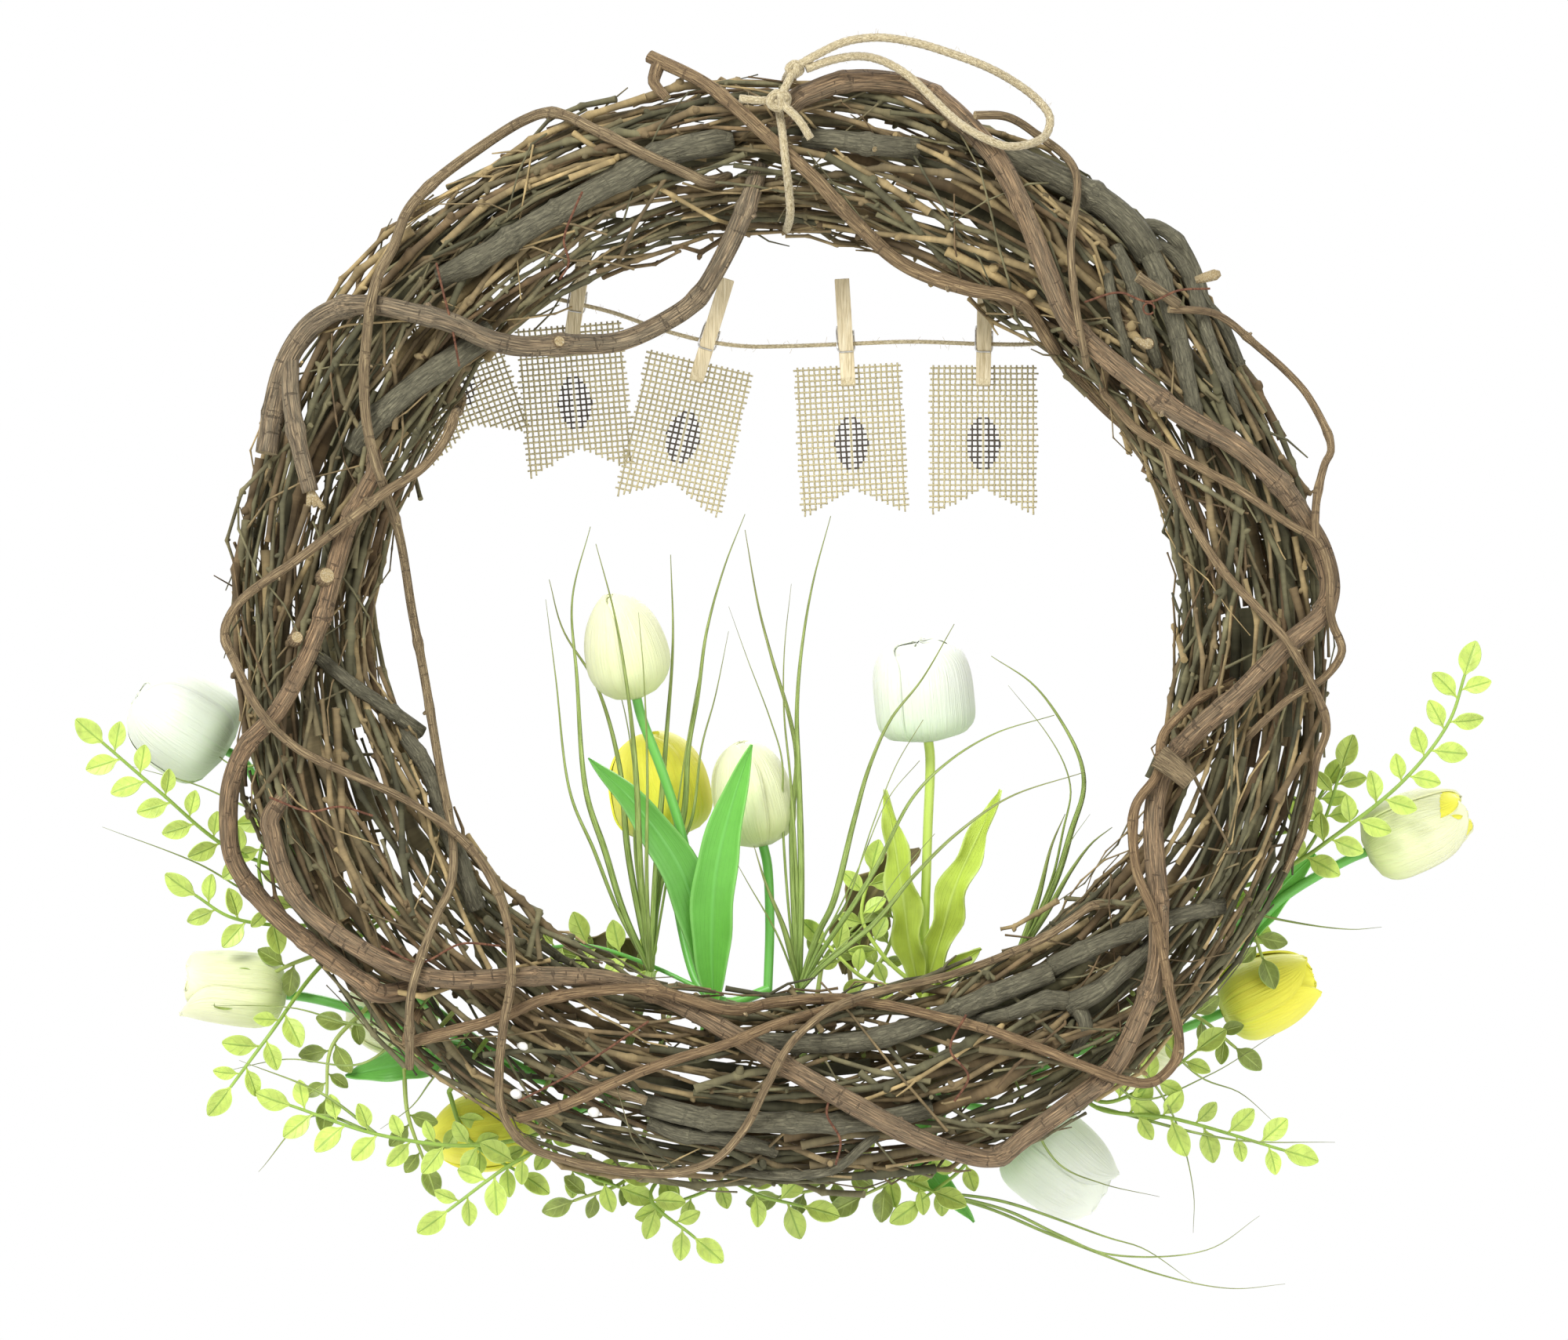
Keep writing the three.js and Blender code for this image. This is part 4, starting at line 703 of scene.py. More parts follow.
FINISHES = {
    "brushwood": lambda name: fibre_finish(
        name, *three_shades("brush_colour", 0.38, 2.1), 0.8, 22, relief=0.6, rings=0.6, tones=(
            (0.38, 0.43, 0.36), (0.95, 1.03, 0.88), (0.68, 0.52, 0.4), (1.3, 1.17, 0.95), (2.2, 1.95, 1.5))),
    "trunk": lambda name: fibre_finish(
        name, (0.085, 0.078, 0.048), (0.17, 0.156, 0.098), (0.3, 0.275, 0.175), 1.1, 6,
        relief=0.5, rings=0.5),
    "vine_red": lambda name: fibre_finish(
        name, *three_shades("vine_colour", 0.27, 2.0), 0.75, 12, tones=((0.98, 1.0, 0.92), (1, 0.87, 0.7)),
        relief=0.9, rings=0.75, patch=(0.3, 0.265, 0.2)),
    "vine_tan": lambda name: fibre_finish(
        name, (0.12, 0.085, 0.05), (0.33, 0.25, 0.15), (0.62, 0.5, 0.31), 0.6, 12,
        tones=((0.98, 1.0, 0.92), (1, 0.84, 0.68)), relief=0.8, rings=0.7),
    "cut_wood": lambda name: fibre_finish(
        name, (0.45, 0.3, 0.12), (0.72, 0.56, 0.3), (0.85, 0.75, 0.52), 0.7, 0.7, place="object"),
    "rust": lambda name: fibre_finish(
        name, (0.07, 0.02, 0.01), (0.2, 0.08, 0.04), (0.34, 0.16, 0.08), 0.5, 3),
    "jute": lambda name: fibre_finish(
        name, (0.3, 0.22, 0.1), (0.66, 0.55, 0.32), (0.9, 0.8, 0.55), 0.5, 1.4, 0.95,
        tones=(0.9, 1), relief=0.3, sheen=0.3),
    "burlap": burlap_finish,
    "peg_wood": lambda name: fibre_finish(
        name, (0.5, 0.4, 0.22), (0.78, 0.66, 0.42), (0.88, 0.79, 0.56), 0.8, 14, 0.6,
        tones=(0.9, 1), relief=0.12, place="object"),
    "wire": lambda name: plain_finish(name, (0.5, 0.49, 0.47), (0.75, 0.74, 0.72), 0.3, 1.0),
    "glue": lambda name: plain_finish(name, (0.66, 0.64, 0.58), (0.85, 0.84, 0.8), 0.25),
    "petal_white": lambda name: petal_finish(name, (0.85, 0.89, 0.78), (0.45, 0.66, 0.3), (0.74, 0.8, 0.64)),
    "petal_cream": lambda name: petal_finish(name, (0.88, 0.9, 0.6), (0.6, 0.75, 0.22), (0.78, 0.8, 0.42)),
    "petal_yellow": lambda name: petal_finish(
        name, (0.95, 0.91, 0.08), (0.6, 0.74, 0.06), (0.88, 0.76, 0.04)),
    # The third colour of a leaf finish is its rim's painted highlight
    "stem_green": lambda name: leaf_finish(
        name, (0.16, 0.53, 0.065), (0.2, 0.6, 0.12), (0.34, 0.76, 0.2), 0.4, 30, 0, 0.2),
    "stem_lime": lambda name: leaf_finish(
        name, (0.57, 0.76, 0.08), (0.64, 0.82, 0.2), (0.7, 0.86, 0.26), 0.4, 30, 0, 0.3),
    "leaflet_lime": lambda name: leaf_finish(
        name, own("leaf_colour"), (0.16, 0.36, 0.04), (0.62, 0.8, 0.2), 0.45, 7, 26, 0.6),
    # Painted shade: the leaflets' own green at half its brightness, for leaflets that lie in under the ring
    "leaflet_dark": lambda name: leaf_finish(
        name, shaded(own("leaf_colour"), 0.5), (0.6, 0.75, 0.2), (0.4, 0.58, 0.14), 0.45, 7, 26, 0.8),
    "grass_olive": lambda name: fibre_finish(
        name, (0.2, 0.25, 0.07), (0.4, 0.5, 0.15), (0.6, 0.68, 0.3), 0.5, 14, 0.5,
        tones=((0.85, 1, 0.75), (0.8, 0.86, 0.7), (0.6, 0.5, 0.55)), relief=0.15),
    "dried_brown": lambda name: leaf_finish(
        name, (0.13, 0.1, 0.035), (0.3, 0.24, 0.09), (0.36, 0.28, 0.12), 0.7, 7, 30),
}


def finish(name):
    """The finish of that name, made the first time that it is asked for."""
    title = name + "_finish"
    return bpy.data.materials.get(title) or FINISHES[name](title)


# The ring, and how vines lie on it

def around(values, degrees):
    """A size of the ring at an angle, eased between the values that are spaced round it."""
    place = (degrees / 360 * len(values)) % len(values)
    first = int(place)
    share = place - first
    ease = share * share * (3 - 2 * share)
    return between(values[first], values[(first + 1) % len(values)], ease)


def section_at(degrees):
    """The middle radius of the ring at an angle, and half its width."""
    inner, outer = around(RING_INNER, degrees), around(RING_OUTER, degrees)
    return (inner + outer) / 2, (outer - inner) / 2


def in_ring(degrees, across, depth):
    """A point in the ring: across is -1 at the hole and 1 outside, depth -1 at the back and 1 in front."""
    middle, half = section_at(degrees)
    radius = middle + across * half * RING_PLUMP
    turn = math.radians(degrees)
    return np.array([radius * math.cos(turn), depth * RING_DEPTH, radius * math.sin(turn)])


def rest_depth(x, z, radius):
    """How far from the ring's middle a stem of that radius rests on it."""
    middle, half = section_at(math.degrees(math.atan2(z, x)))
    left = 1 - ((math.hypot(x, z) - middle) / (half + radius + CLEAR)) ** 2
    return (RING_DEPTH + radius + CLEAR) * math.sqrt(left) if left > 0 else 0


def lay(route, radius, below):
    """The line of a stem that rests on the ring and on what was laid before it."""
    plan = [(stop[0], stop[2] if len(stop) > 2 else -1, stop[1]) for stop in route]
    points = spline(plan, LAY_STEP, whole=True)
    sides = np.clip(points[:, 1], -1, 1)
    wanted = []
    for (x, _, z), side in zip(points, sides):
        depth = abs(side) * rest_depth(x, z, radius)
        for ox, oy, oz, other in below:
            apart = math.hypot(x - ox, z - oz)
            need = radius + other + CLEAR
            if apart < need and math.copysign(1, oy) == math.copysign(1, side):
                depth = max(depth, abs(oy) + math.sqrt(need * need - apart * apart))
        wanted.append(depth)
    drop = LAY_SLOPE * LAY_STEP
    for i in range(1, len(wanted)):
        wanted[i] = max(wanted[i], wanted[i - 1] - drop)
    for i in range(len(wanted) - 2, -1, -1):
        wanted[i] = max(wanted[i], wanted[i + 1] - drop)
    depths = list(wanted)
    for _ in range(LAY_ROUNDS):
        for i in range(1, len(depths) - 1):
            depths[i] = max(wanted[i], (depths[i - 1] + depths[i + 1]) / 2)
    points[:, 1] = [(-depth if side < 0 else depth) for side, depth in zip(sides, depths)]
    return points


def tucked(end, start):
    """Where an end gets to that dives among the twigs."""
    onward = end + unit(end - start) * TUCK_LENGTH
    radius = math.hypot(onward[0], onward[2])
    middle, _ = section_at(math.degrees(math.atan2(onward[2], onward[0])))
    pulled = between(radius, middle, 0.5) / radius
    return np.array([onward[0] * pulled, math.copysign(TUCK_DEPTH, end[1]), onward[2] * pulled])


# Vines in the order in which they lie, lowest first. A stem has its radii at both ends, what is tucked in
# or joins the first stem, and its route: x, z and the side it lies on, -1 for the back, 1 for the front.
VINES = [
    ("vine_long_red", "vine_red", 0.8, [
        ((5, 4.2), "start end", "", [
            (6, 233), (24, 240), (44, 241), (63, 236), (88, 213), (97, 200), (107, 178), (116, 154),
            (125, 134), (136, 123), (154, 108), (176, 92), (198, 79), (216, 63), (227, 48), (235, 35),
            (239, 17), (235, 6), (220, -7), (198, -29), (182, -43), (167, -60), (162, -76), (161, -91),
            (163, -129), (162, -151), (154, -173), (143, -193), (123, -210), (105, -224), (92, -233),
            (74, -230), (54, -222), (17, -201), (-16, -182), (-53, -162), (-75, -155), (-104, -152),
            (-148, -153), (-170, -148), (-206, -126), (-217, -113), (-223, -98), (-226, -84)]),
    ]),
    ("vine_left", "vine_red", 1.0, [
        ((3.8, 4.4), "start end", "", [
            (-180, 68), (-192, 44), (-199, 21), (-203, 6), (-211, -16), (-223, -38), (-236, -52),
            (-243, -67), (-245, -84), (-243, -102), (-230, -121), (-214, -136), (-197, -148),
            (-179, -160)]),
    ]),
    ("vine_big_loop", "vine_red", 0.15, [
        ((4.2, 5), "start", "", [
            (-16, 186), (-19, 179), (-25, 167), (-38, 147), (-53, 136), (-73, 127), (-95, 125), (-115, 124),
            (-130, 127), (-148, 135), (-164, 139), (-181, 142), (-194, 141), (-206, 135), (-214, 127),
            (-221, 114), (-225, 97), (-228, 77)]),
        ((4, 3.6), "", "start", [(-218, 121), (-217, 101), (-213, 80), (-208, 60)]),
    ]),
    ("vine_top", "vine_tan", 0.7, [
        ((3, 3.6), "end", "", [
            (-60, 252), (-34, 238), (-6, 213), (13, 196), (27, 181), (51, 160), (79, 149), (103, 143, -0.7),
            (119, 122, 0), (141, 99, 0.8), (168, 76, 1), (197, 46, 1), (213, 15, 1), (214, -20, 1),
            (205, -55, 1)]),
        ((2, 3), "", "end", [(-52, 233), (-58, 241), (-55, 250)]),
    ]),
    ("vine_bottom_tan", "vine_tan", 0.9, [
        ((2.6, 2.2), "start end", "", [
            (-166, -182), (-148, -177), (-126, -171), (-107, -163), (-85, -159), (-60, -158), (-23, -167),
            (-6, -164), (20, -162), (40, -164), (65, -169), (88, -175), (110, -183), (132, -192),
            (149, -198), (161, -199), (171, -190), (173, -182), (169, -160), (161, -124), (154, -107),
            (152, -84), (154, -76), (163, -63), (165, -47), (180, -31)]),
        ((2.6, 2.3), "", "end", [
            (-117, -215), (-99, -210), (-72, -198), (-51, -190), (-26, -182), (-6, -174), (15, -168),
            (34, -163)]),
    ]),
    ("vine_left_tan", "vine_tan", 0.35, [
        ((2.6, 1.9), "start", "", [
            (-36, 196), (-60, 207), (-82, 218), (-102, 227), (-115, 224), (-139, 209), (-155, 196),
            (-166, 183), (-172, 167), (-179, 152), (-184, 119), (-184, 97), (-181, 79), (-170, 44),
            (-164, 6), (-160, -16), (-153, -58), (-146, -95), (-147, -113), (-153, -126), (-164, -160),
            (-165, -193)]),
    ]),
    ("vine_low_tan", "vine_tan", 0.5, [
        ((2.2, 1.8), "start end", "", [
            (-143, 103, 0.2), (-148, 85, -0.3), (-159, 70, -1), (-175, 59), (-192, 46), (-214, 30),
            (-236, 15), (-243, 7), (-246, -2), (-241, -15), (-230, -36), (-214, -52), (-192, -63),
            (-170, -73), (-148, -87), (-135, -100), (-126, -116), (-121, -133), (-120, -155), (-123, -173),
            (-125, -195), (-124, -212), (-115, -226), (-97, -234), (-71, -239), (-49, -239), (-31, -233),
            (-18, -219), (-9, -201), (1, -183), (14, -171), (32, -162), (73, -152), (113, -136),
            (134, -122)]),
    ]),
    ("vine_right_thin", "vine_tan", 0.6, [
        ((2, 1.8), "start end", "", [
            (140, 104), (154, 88), (176, 74), (198, 61), (220, 46), (233, 38), (238, 25), (239, 4),
            (244, -10), (236, -22), (222, -30), (208, -42)]),
        ((2.2, 1.8), "", "start", [
            (166, 81), (171, 62), (180, 44), (193, 24), (211, 4), (222, -11), (237, -43), (233, -58),
            (231, -76), (227, -91), (220, -107)]),
        ((1.8, 1.8), "", "end", [
            (168, 140), (189, 138), (207, 125), (222, 112), (231, 101), (240, 79), (237, 72), (233, 55),
            (232, 39)]),
    ]),
]

# Round cut knots on the vines, as x, z, radius and the vine's radius under it
CUT_KNOTS = [(-202, 22, 3.4, 4), (-215, -5, 2.6, 4), (-101, 125, 2.4, 4.6), (159, 125, 2.2, 0)]

# Broken ends that stick out, with the radii at their ends, and a thin vine over the rest
STUBS = [
    ([(163, -33, -56), (170, -34, -61), (177, -35, -67)], (5.6, 4.4)),
    ([(172, -26, 142), (163, -30, 148), (154, -32, 154)], (2.6, 2.4)),
    ([(-101, -25, -193), (-80, -26, -201), (-61, -27, -207)], (2.3, 2.2)),
]
PALE_ENDS = [((180, -19, 153), (191, -20, 156), 2.3), ((153, -30, 127), (160, -33, 123), 1.7)]
THIN_VINE = [(83, 225), (97, 225), (110, 218), (127, 202), (125, 167), (127, 141), (132, 114)]
THIN_RADII = (1.9, 1.7)


def lay_vines():
    """Each vine with its stems' points and radii, and all the points that lie on the ring, with radii."""
    laid, vines = [], []
    for name, bark, tone, stems in VINES:
        below = list(laid)
        made = []
        for radii, tuck, joins, route in stems:
            points = lay(route, max(radii), below)
            if joins:
                end = 0 if joins == "start" else -1
                points[end] = min(made[0][0], key=lambda p: math.hypot(*(p - points[end])[[0, 2]]))
            laid.extend((*point, max(radii)) for point in points)
            made.append((points, radii, tuck))
        vines.append((name, bark, tone, made))
    return vines, np.array(laid)


# Stems: millimetres between sections, the strands of bark in one as counts and depths, the depth of the
# finest strands, and the shares of the nodes that have a shoot and a cut one
STEM_STEP = 2.2
STRANDS = ((2, 0.05), (3, 0.05), (5, 0.05), (7, 0.04))
FINE_STRANDS = 0.03
SHOOTS = 0.45
CUT_SHOOTS = 0.2

# Sides of a vine's section: a thick one's, and a thin one's
THICK_VINE = 3
VINE_SIDES = (20, 12)


def add_stem(body, points, radii, sides, draw, knots=(25, 75), relief=1.0, tone=0.5):
    """A knotty stem whose section is a few strands of bark that wind slowly round it, with side shoots."""
    points = spline(points, STEM_STEP)
    count = len(points)
    along = np.arange(count) * STEM_STEP
    base = np.linspace(*radii, count)
    swell = np.zeros(count)
    shift = np.zeros((count, 3))
    _, side, other = directions(points)
    place = draw.uniform(*knots)
    last, before = 0.0, np.zeros(3)
    shoots = []
    while place < along[-1] - knots[0] / 2:
        at = min(count - 1, round(place / STEM_STEP))
        swell += draw.uniform(0.1, 0.26) * np.exp(-((along - place) / draw.uniform(1.6, 3.6)) ** 2)
        bend = side[at] * draw.uniform(-0.8, 0.8) + other[at] * draw.uniform(-0.8, 0.8)
        span = (along >= last) & (along < place)
        shift[span] = before + (bend - before) * ((along[span] - last) / (place - last))[:, None]
        last, before = place, bend
        shoots.append((at, draw.random(), draw.uniform(0, 2 * math.pi)))
        place += draw.uniform(*knots)
    tail = along >= last
    shift[tail] = before * np.linspace(1, 0, tail.sum())[:, None]
    points = points + shift * min(1, radii[0] / 3)
    turns = turns_round(sides)
    ridges = np.zeros((count, sides))
    for strands, depth in (*STRANDS, (sides // 2 - 1, FINE_STRANDS)):
        wind = draw.uniform(-0.03, 0.03)
        sway = draw.uniform(0, 6) + 0.8 * np.sin(along / draw.uniform(12, 40) + draw.uniform(0, 6))
        fade = 0.7 + 0.6 * np.sin(along / draw.uniform(6, 30) + draw.uniform(0, 6))
        ridges += depth * fade[:, None] * np.sin(strands * turns[None, :] + (wind * along + sway)[:, None])
    add_tube(body, points, base[:, None] * (0.96 + swell[:, None] + ridges * relief), sides,
             tone=tone, cut_kind=1)
    onward, side, other = directions(points)
    for at, chance, turn in shoots:
        if chance < SHOOTS:
            aside = side[at] * math.cos(turn) + other[at] * math.sin(turn)
            reach = unit(onward[at] * 0.5 + aside) * (base[at] + draw.uniform(0.8, 2.2))
            stub = np.array([points[at], points[at] + reach * 0.75, points[at] + reach])
            thick = base[at] * np.array([0.5, 0.42, 0.3])
            add_tube(body, stub, thick, 7, tone=0.3, cut_kind=1 if chance < CUT_SHOOTS else 0)


class WREATH_OT_vines(bpy.types.Operator):
    """Make the vines: stringy bark over knotty stems, with pale cut ends"""

    bl_idname = "wreath.vines"
    bl_label = "Vines"

    def execute(self, context):
        vines, laid = lay_vines()
        for name, bark, tone, stems in vines:
            body = Body()
            draw = random.Random(name)
            for points, radii, tuck in stems:
                if "start" in tuck:
                    points = np.vstack([tucked(points[0], points[2]), points])
                if "end" in tuck:
                    points = np.vstack([points, tucked(points[-1], points[-3])])
                sides = VINE_SIDES[0] if max(radii) > THICK_VINE else VINE_SIDES[1]
                add_stem(body, points, radii, sides, draw, tone=tone)
            if name == "vine_big_loop":
                self.add_split_end(body, stems[1][0], draw)
            stand_for(body.build(name + "_bark", [finish(bark), finish("cut_wood")]), bark, name)
        body = Body()
        draw = random.Random(5)
        for x, z, radius, under in CUT_KNOTS:
            near = laid[np.argmin(np.hypot(laid[:, 0] - x, laid[:, 2] - z))]
            depth = near[1] if under else -RING_DEPTH
            tilt = np.array([0.3, -1, 0.25])
            foot = np.array([x, depth, z])
            stub = np.array([foot, foot + tilt * (under + 0.1), foot + tilt * (under + 0.8)])
            add_tube(body, stub, radius * np.array([1.3, 1.15, 0.95]), 14, tone=0.6, cut_kind=1)
        for route, radii in STUBS:
            add_stem(body, np.array(route, float), radii, VINE_SIDES[1], draw, knots=(30, 40), tone=0.3)
        for foot, tip, radius in PALE_ENDS:
            points = np.array([between(np.array(foot), np.array(tip), share) for share in (0, 0.4, 0.8, 1)])
            add_tube(body, points, radius * np.array([0.7, 1, 1.1, 0.5]), 9, kind=1, cut_kind=1)
        thin = lay(THIN_VINE, THIN_RADII[0], [tuple(point) for point in laid])
        add_stem(body, thin, THIN_RADII, VINE_SIDES[1], draw, tone=0.4)
        stand_for(body.build("cut_knots", [finish("vine_tan"), finish("cut_wood")]), "vine_tan")
        return {"FINISHED"}

    def add_split_end(self, body, points, draw):
        """The broken end of a vine, split into pale slivers."""
        end, onward = points[-1], unit(points[-1] - points[-3])
        for lean in (-0.35, 0.05, 0.4):
            reach = onward + np.array([lean, -0.1, 0.1])
            length = draw.uniform(6, 10)
            sliver = spline([end - reach * 2, end + reach * length * 0.5, end + reach * length], 2)
            add_tube(body, sliver, np.linspace(1.9, 1.3, len(sliver)), 7, kind=1, cut_kind=1)


# Thick branches that show among the twigs of the back: x and z of the route, and the radii at its ends
TRUNKS = [
    ([(84, 214), (98, 208), (114, 201), (133, 191), (146, 182), (154, 174), (161, 164)], (5.4, 7.4)),
    ([(152, 176), (163, 178), (173, 172), (181, 158), (185, 144), (191, 137), (201, 116)], (3.4, 2.4)),
    ([(160, 170), (171, 165), (177, 156), (181, 142), (185, 129), (190, 116), (199, 94)], (3.7, 2.5)),
    ([(159, 168), (165, 153), (170, 137), (174, 121), (178, 104), (184, 80)], (5.2, 3)),
    ([(145, 168), (150, 158), (156, 142), (160, 128), (164, 115)], (3.5, 3)),
    ([(141, 161), (144, 141), (149, 123), (154, 106)], (2.7, 2.2)),
    ([(-152, 154), (-127, 167), (-108, 179), (-88, 190), (-73, 198), (-52, 208), (-24, 215)], (5.6, 6.2)),
    ([(-190, 78), (-183, 88), (-168, 103), (-148, 118), (-130, 131)], (5.2, 6)),
    ([(-206, -12), (-189, -25), (-177, -34), (-161, -46)], (3, 3.2)),
    ([(-172, -42), (-157, -64), (-150, -84), (-143, -103), (-136, -124)], (3.4, 4.4)),
    ([(-30, -178), (-14, -181), (37, -181), (68, -170), (98, -158), (117, -151)], (4.2, 5.2)),
    ([(117, -149), (134, -140), (153, -132), (169, -127), (193, -122)], (4.6, 3.4)),
    ([(80, -173), (98, -169), (114, -163), (127, -164)], (2.6, 4.6)),
    ([(124, -166), (138, -159), (150, -149), (163, -138)], (5.4, 3.2)),
    ([(127, -164), (132, -175), (127, -186)], (4.4, 2.4)),
    ([(-62, -209), (-32, -215), (-6, -217), (11, -217), (40, -215), (64, -211)], (5, 4.4)),
    ([(-60, -217), (-46, -222), (-28, -224), (-4, -230)], (3.6, 3.2)),
    ([(46, -217), (34, -228), (22, -238), (3, -241), (-25, -239)], (2.3, 2)),
    ([(8, 216), (30, 214), (58, 211)], (4.4, 5)),
]
TRUNK_SUNK = 4.5
TRUNK_DIVE = 8
TRUNK_STEP = 2.5

# Kinds of twig: how many in a bundle, radii, how far out they lie, millimetres between nodes, how far a
# node is off the line, degrees they wind, degrees of the ring that they run, and their sides
TWIG_KINDS = [
    ("limb", 7, (3.4, 5.4), (0.05, 0.66), 42, 1.6, 8, (30, 44), 10),
    ("twig", 74, (1.2, 2.5), (0.5, 0.98), 21, 2.0, 26, (22, 52), 7),
    ("loose", 9, (1.2, 1.9), (0.96, 1.07), 17, 1.8, 42, (9, 20), 7),
    ("twiglet", 26, (0.5, 1.0), (0.88, 1.07), 13, 1.5, 44, (10, 26), 5),
]

# The ring's middle radius in millimetres, a node's reach as a share of the way to the next one, and the
# radii just past a node, just before the next one and on it
RING_MIDDLE = 205
NODE_REACH = 0.13
NODE_SIZES = (0.92, 0.88, 1.24)

# Shares of the nodes that have a bud, and of the rest that have a spur
BUDS = 0.72
SPURS = 0.4


class WREATH_OT_brushwood(bpy.types.Operator):
    """Make the ring: hundreds of long budded twigs, bundle by bundle, and a few thick branches"""

    bl_idname = "wreath.brushwood"
    bl_label = "Brushwood"

    def execute(self, context):
        _, laid = lay_vines()
        trunks = [(self.trunk_line(route), radii) for route, radii in TRUNKS]
        above = [laid]
        for points, radii in trunks:
            above.append(np.column_stack([points, np.linspace(*radii, len(points))]))
        above = np.vstack(above)
        span = 360 / BUNDLES
        for order in range(BUNDLES):
            draw = random.Random(500 + order)
            pieces = []
            for name, count, radii, levels, pitch, kink, wind, spans, sides in TWIG_KINDS:
                lines = []
                for _ in range(round(count * settings().fullness)):
                    lines.extend(self.twig(order * span, span, radii, levels, pitch, kink, wind, spans, draw))
                lines = self.sunk_under(lines, above)
                pieces.append(sweep(f"{name}s_{order + 1}", lines, finish("brushwood"), sides))
            stand_for(join(f"twigs_{order + 1}", pieces), "brushwood", f"brushwood_{order + 1}")
        body = Body()
        draw = random.Random(90)
        for points, radii in trunks:
            add_stem(body, points, radii, 18, draw, knots=(16, 40), relief=0.7)
        stand_for(body.build("thick_branches", [finish("trunk"), finish("cut_wood")]), "brushwood")
        return {"FINISHED"}

    def twig(self, start, span, radii, levels, pitch, kink, wind, spans, draw):
        """A twig that bends at its nodes, with buds and spurs on them."""
        middle = start + draw.uniform(-0.03, 1.03) * span
        reach = draw.uniform(*spans) / 2
        level = between(*levels, draw.random() ** 0.7)
        turn = draw.uniform(0, 360)
        twist = draw.gauss(0.35 * wind, wind) * draw.choice((1, 1, -0.6))
        thick = between(*radii, draw.random() ** 1.6)
        nodes = max(3, round(reach * 2 * math.pi / 180 * RING_MIDDLE / pitch))
        phase = draw.uniform(0, 6)
        joints = []
        for share in np.linspace(-1, 1, nodes + 1):
            turned = math.radians(turn + twist * share + 4 * math.sin(2.4 * share + phase))
            size = level + 0.035 * math.sin(4 * share + phase)
            jitter = np.array([draw.uniform(-kink, kink) for _ in range(3)])
            place = in_ring(middle + reach * share, size * math.cos(turned), size * math.sin(turned))
            joints.append(place + jitter)
        points, sizes = [joints[0]], [1.0]
        for first, last in zip(joints, joints[1:]):
            points.extend([between(first, last, NODE_REACH), between(first, last, 1 - NODE_REACH), last])
            sizes.extend(NODE_SIZES)
        points = np.array(points)
        if draw.random() < 0.5:
            points = points[::-1]
        sizes = np.array(sizes) * thick * np.linspace(1, 0.5, len(points))
        # Twigs that lie below the ring's surface never get the palest tones: painted shade deep in the brush
        tone = draw.random() * (0.86 if level < 0.93 else 1)
        lines = [(points, sizes, tone)]
        if thick > 1 and level > 0.7:
            lines.extend(self.buds(points, sizes, tone, draw))
        return lines

    def buds(self, points, sizes, tone, draw):
        """A bud or a short spur at most nodes."""
        lines = []
        for at in range(3, len(points) - 1, 3):
            onward = unit(points[at + 1] - points[at - 1])
            aside = unit(np.cross(onward, [draw.uniform(-1, 1) for _ in range(3)]))
            size = sizes[at]
            if draw.random() < BUDS:
                tip = points[at] + aside * (size + draw.uniform(0.8, 2.2)) + onward * size * 0.9
                middle = between(points[at], tip, 0.62)
                lines.append((np.array([points[at], middle, tip]), size * np.array([0.7, 0.8, 0.35]), tone))
            elif draw.random() < SPURS:
                length = draw.uniform(6, 24)
                knee = points[at] + (aside * 0.55 + onward * 0.7) * length * 0.5
                tip = knee + (aside * 0.35 + onward) * length * 0.5
                lines.append((np.array([points[at], knee, tip]), size * np.array([0.5, 0.4, 0.25]), tone))
        return lines

    def sunk_under(self, lines, above):
        """The lines pushed under whatever lies on the ring where they would run into it."""
        points = np.vstack([line for line, _, _ in lines])
        radii = np.concatenate([np.broadcast_to(radius, len(line)) for line, radius, _ in lines])
        for x, y, z, radius in above:
            near = radii + radius + 0.2
            apart = (points[:, 0] - x) ** 2 + (points[:, 2] - z) ** 2
            hit = (apart < near ** 2) & (points[:, 1] * y > 0)
            if hit.any():
                room = np.sqrt(near[hit] ** 2 - apart[hit])
                depth = np.maximum(abs(y) - room, 0)
                points[hit, 1] = np.sign(y) * np.minimum(np.abs(points[hit, 1]), depth)
        moved, first = [], 0
        for line, radius, tone in lines:
            moved.append((points[first:first + len(line)], radius, tone))
            first += len(line)
        return moved

    def trunk_line(self, route):
        """A branch sunk into the ring's back so far that it lies level with the twigs round it."""
        stops = []
        for x, z in route:
            middle, half = section_at(math.degrees(math.atan2(z, x)))
            off = (math.hypot(x, z) - middle) / (half * RING_PLUMP)
            stops.append((x, -RING_DEPTH * math.sqrt(max(0.05, 1 - off * off)) + TRUNK_SUNK, z))
        points = spline(stops, TRUNK_STEP)
        run = np.arange(len(points)) * TRUNK_STEP
        points[:, 1] += TRUNK_DIVE * (np.exp(-(run / 9) ** 2) + np.exp(-((run[-1] - run) / 9) ** 2))
        return points


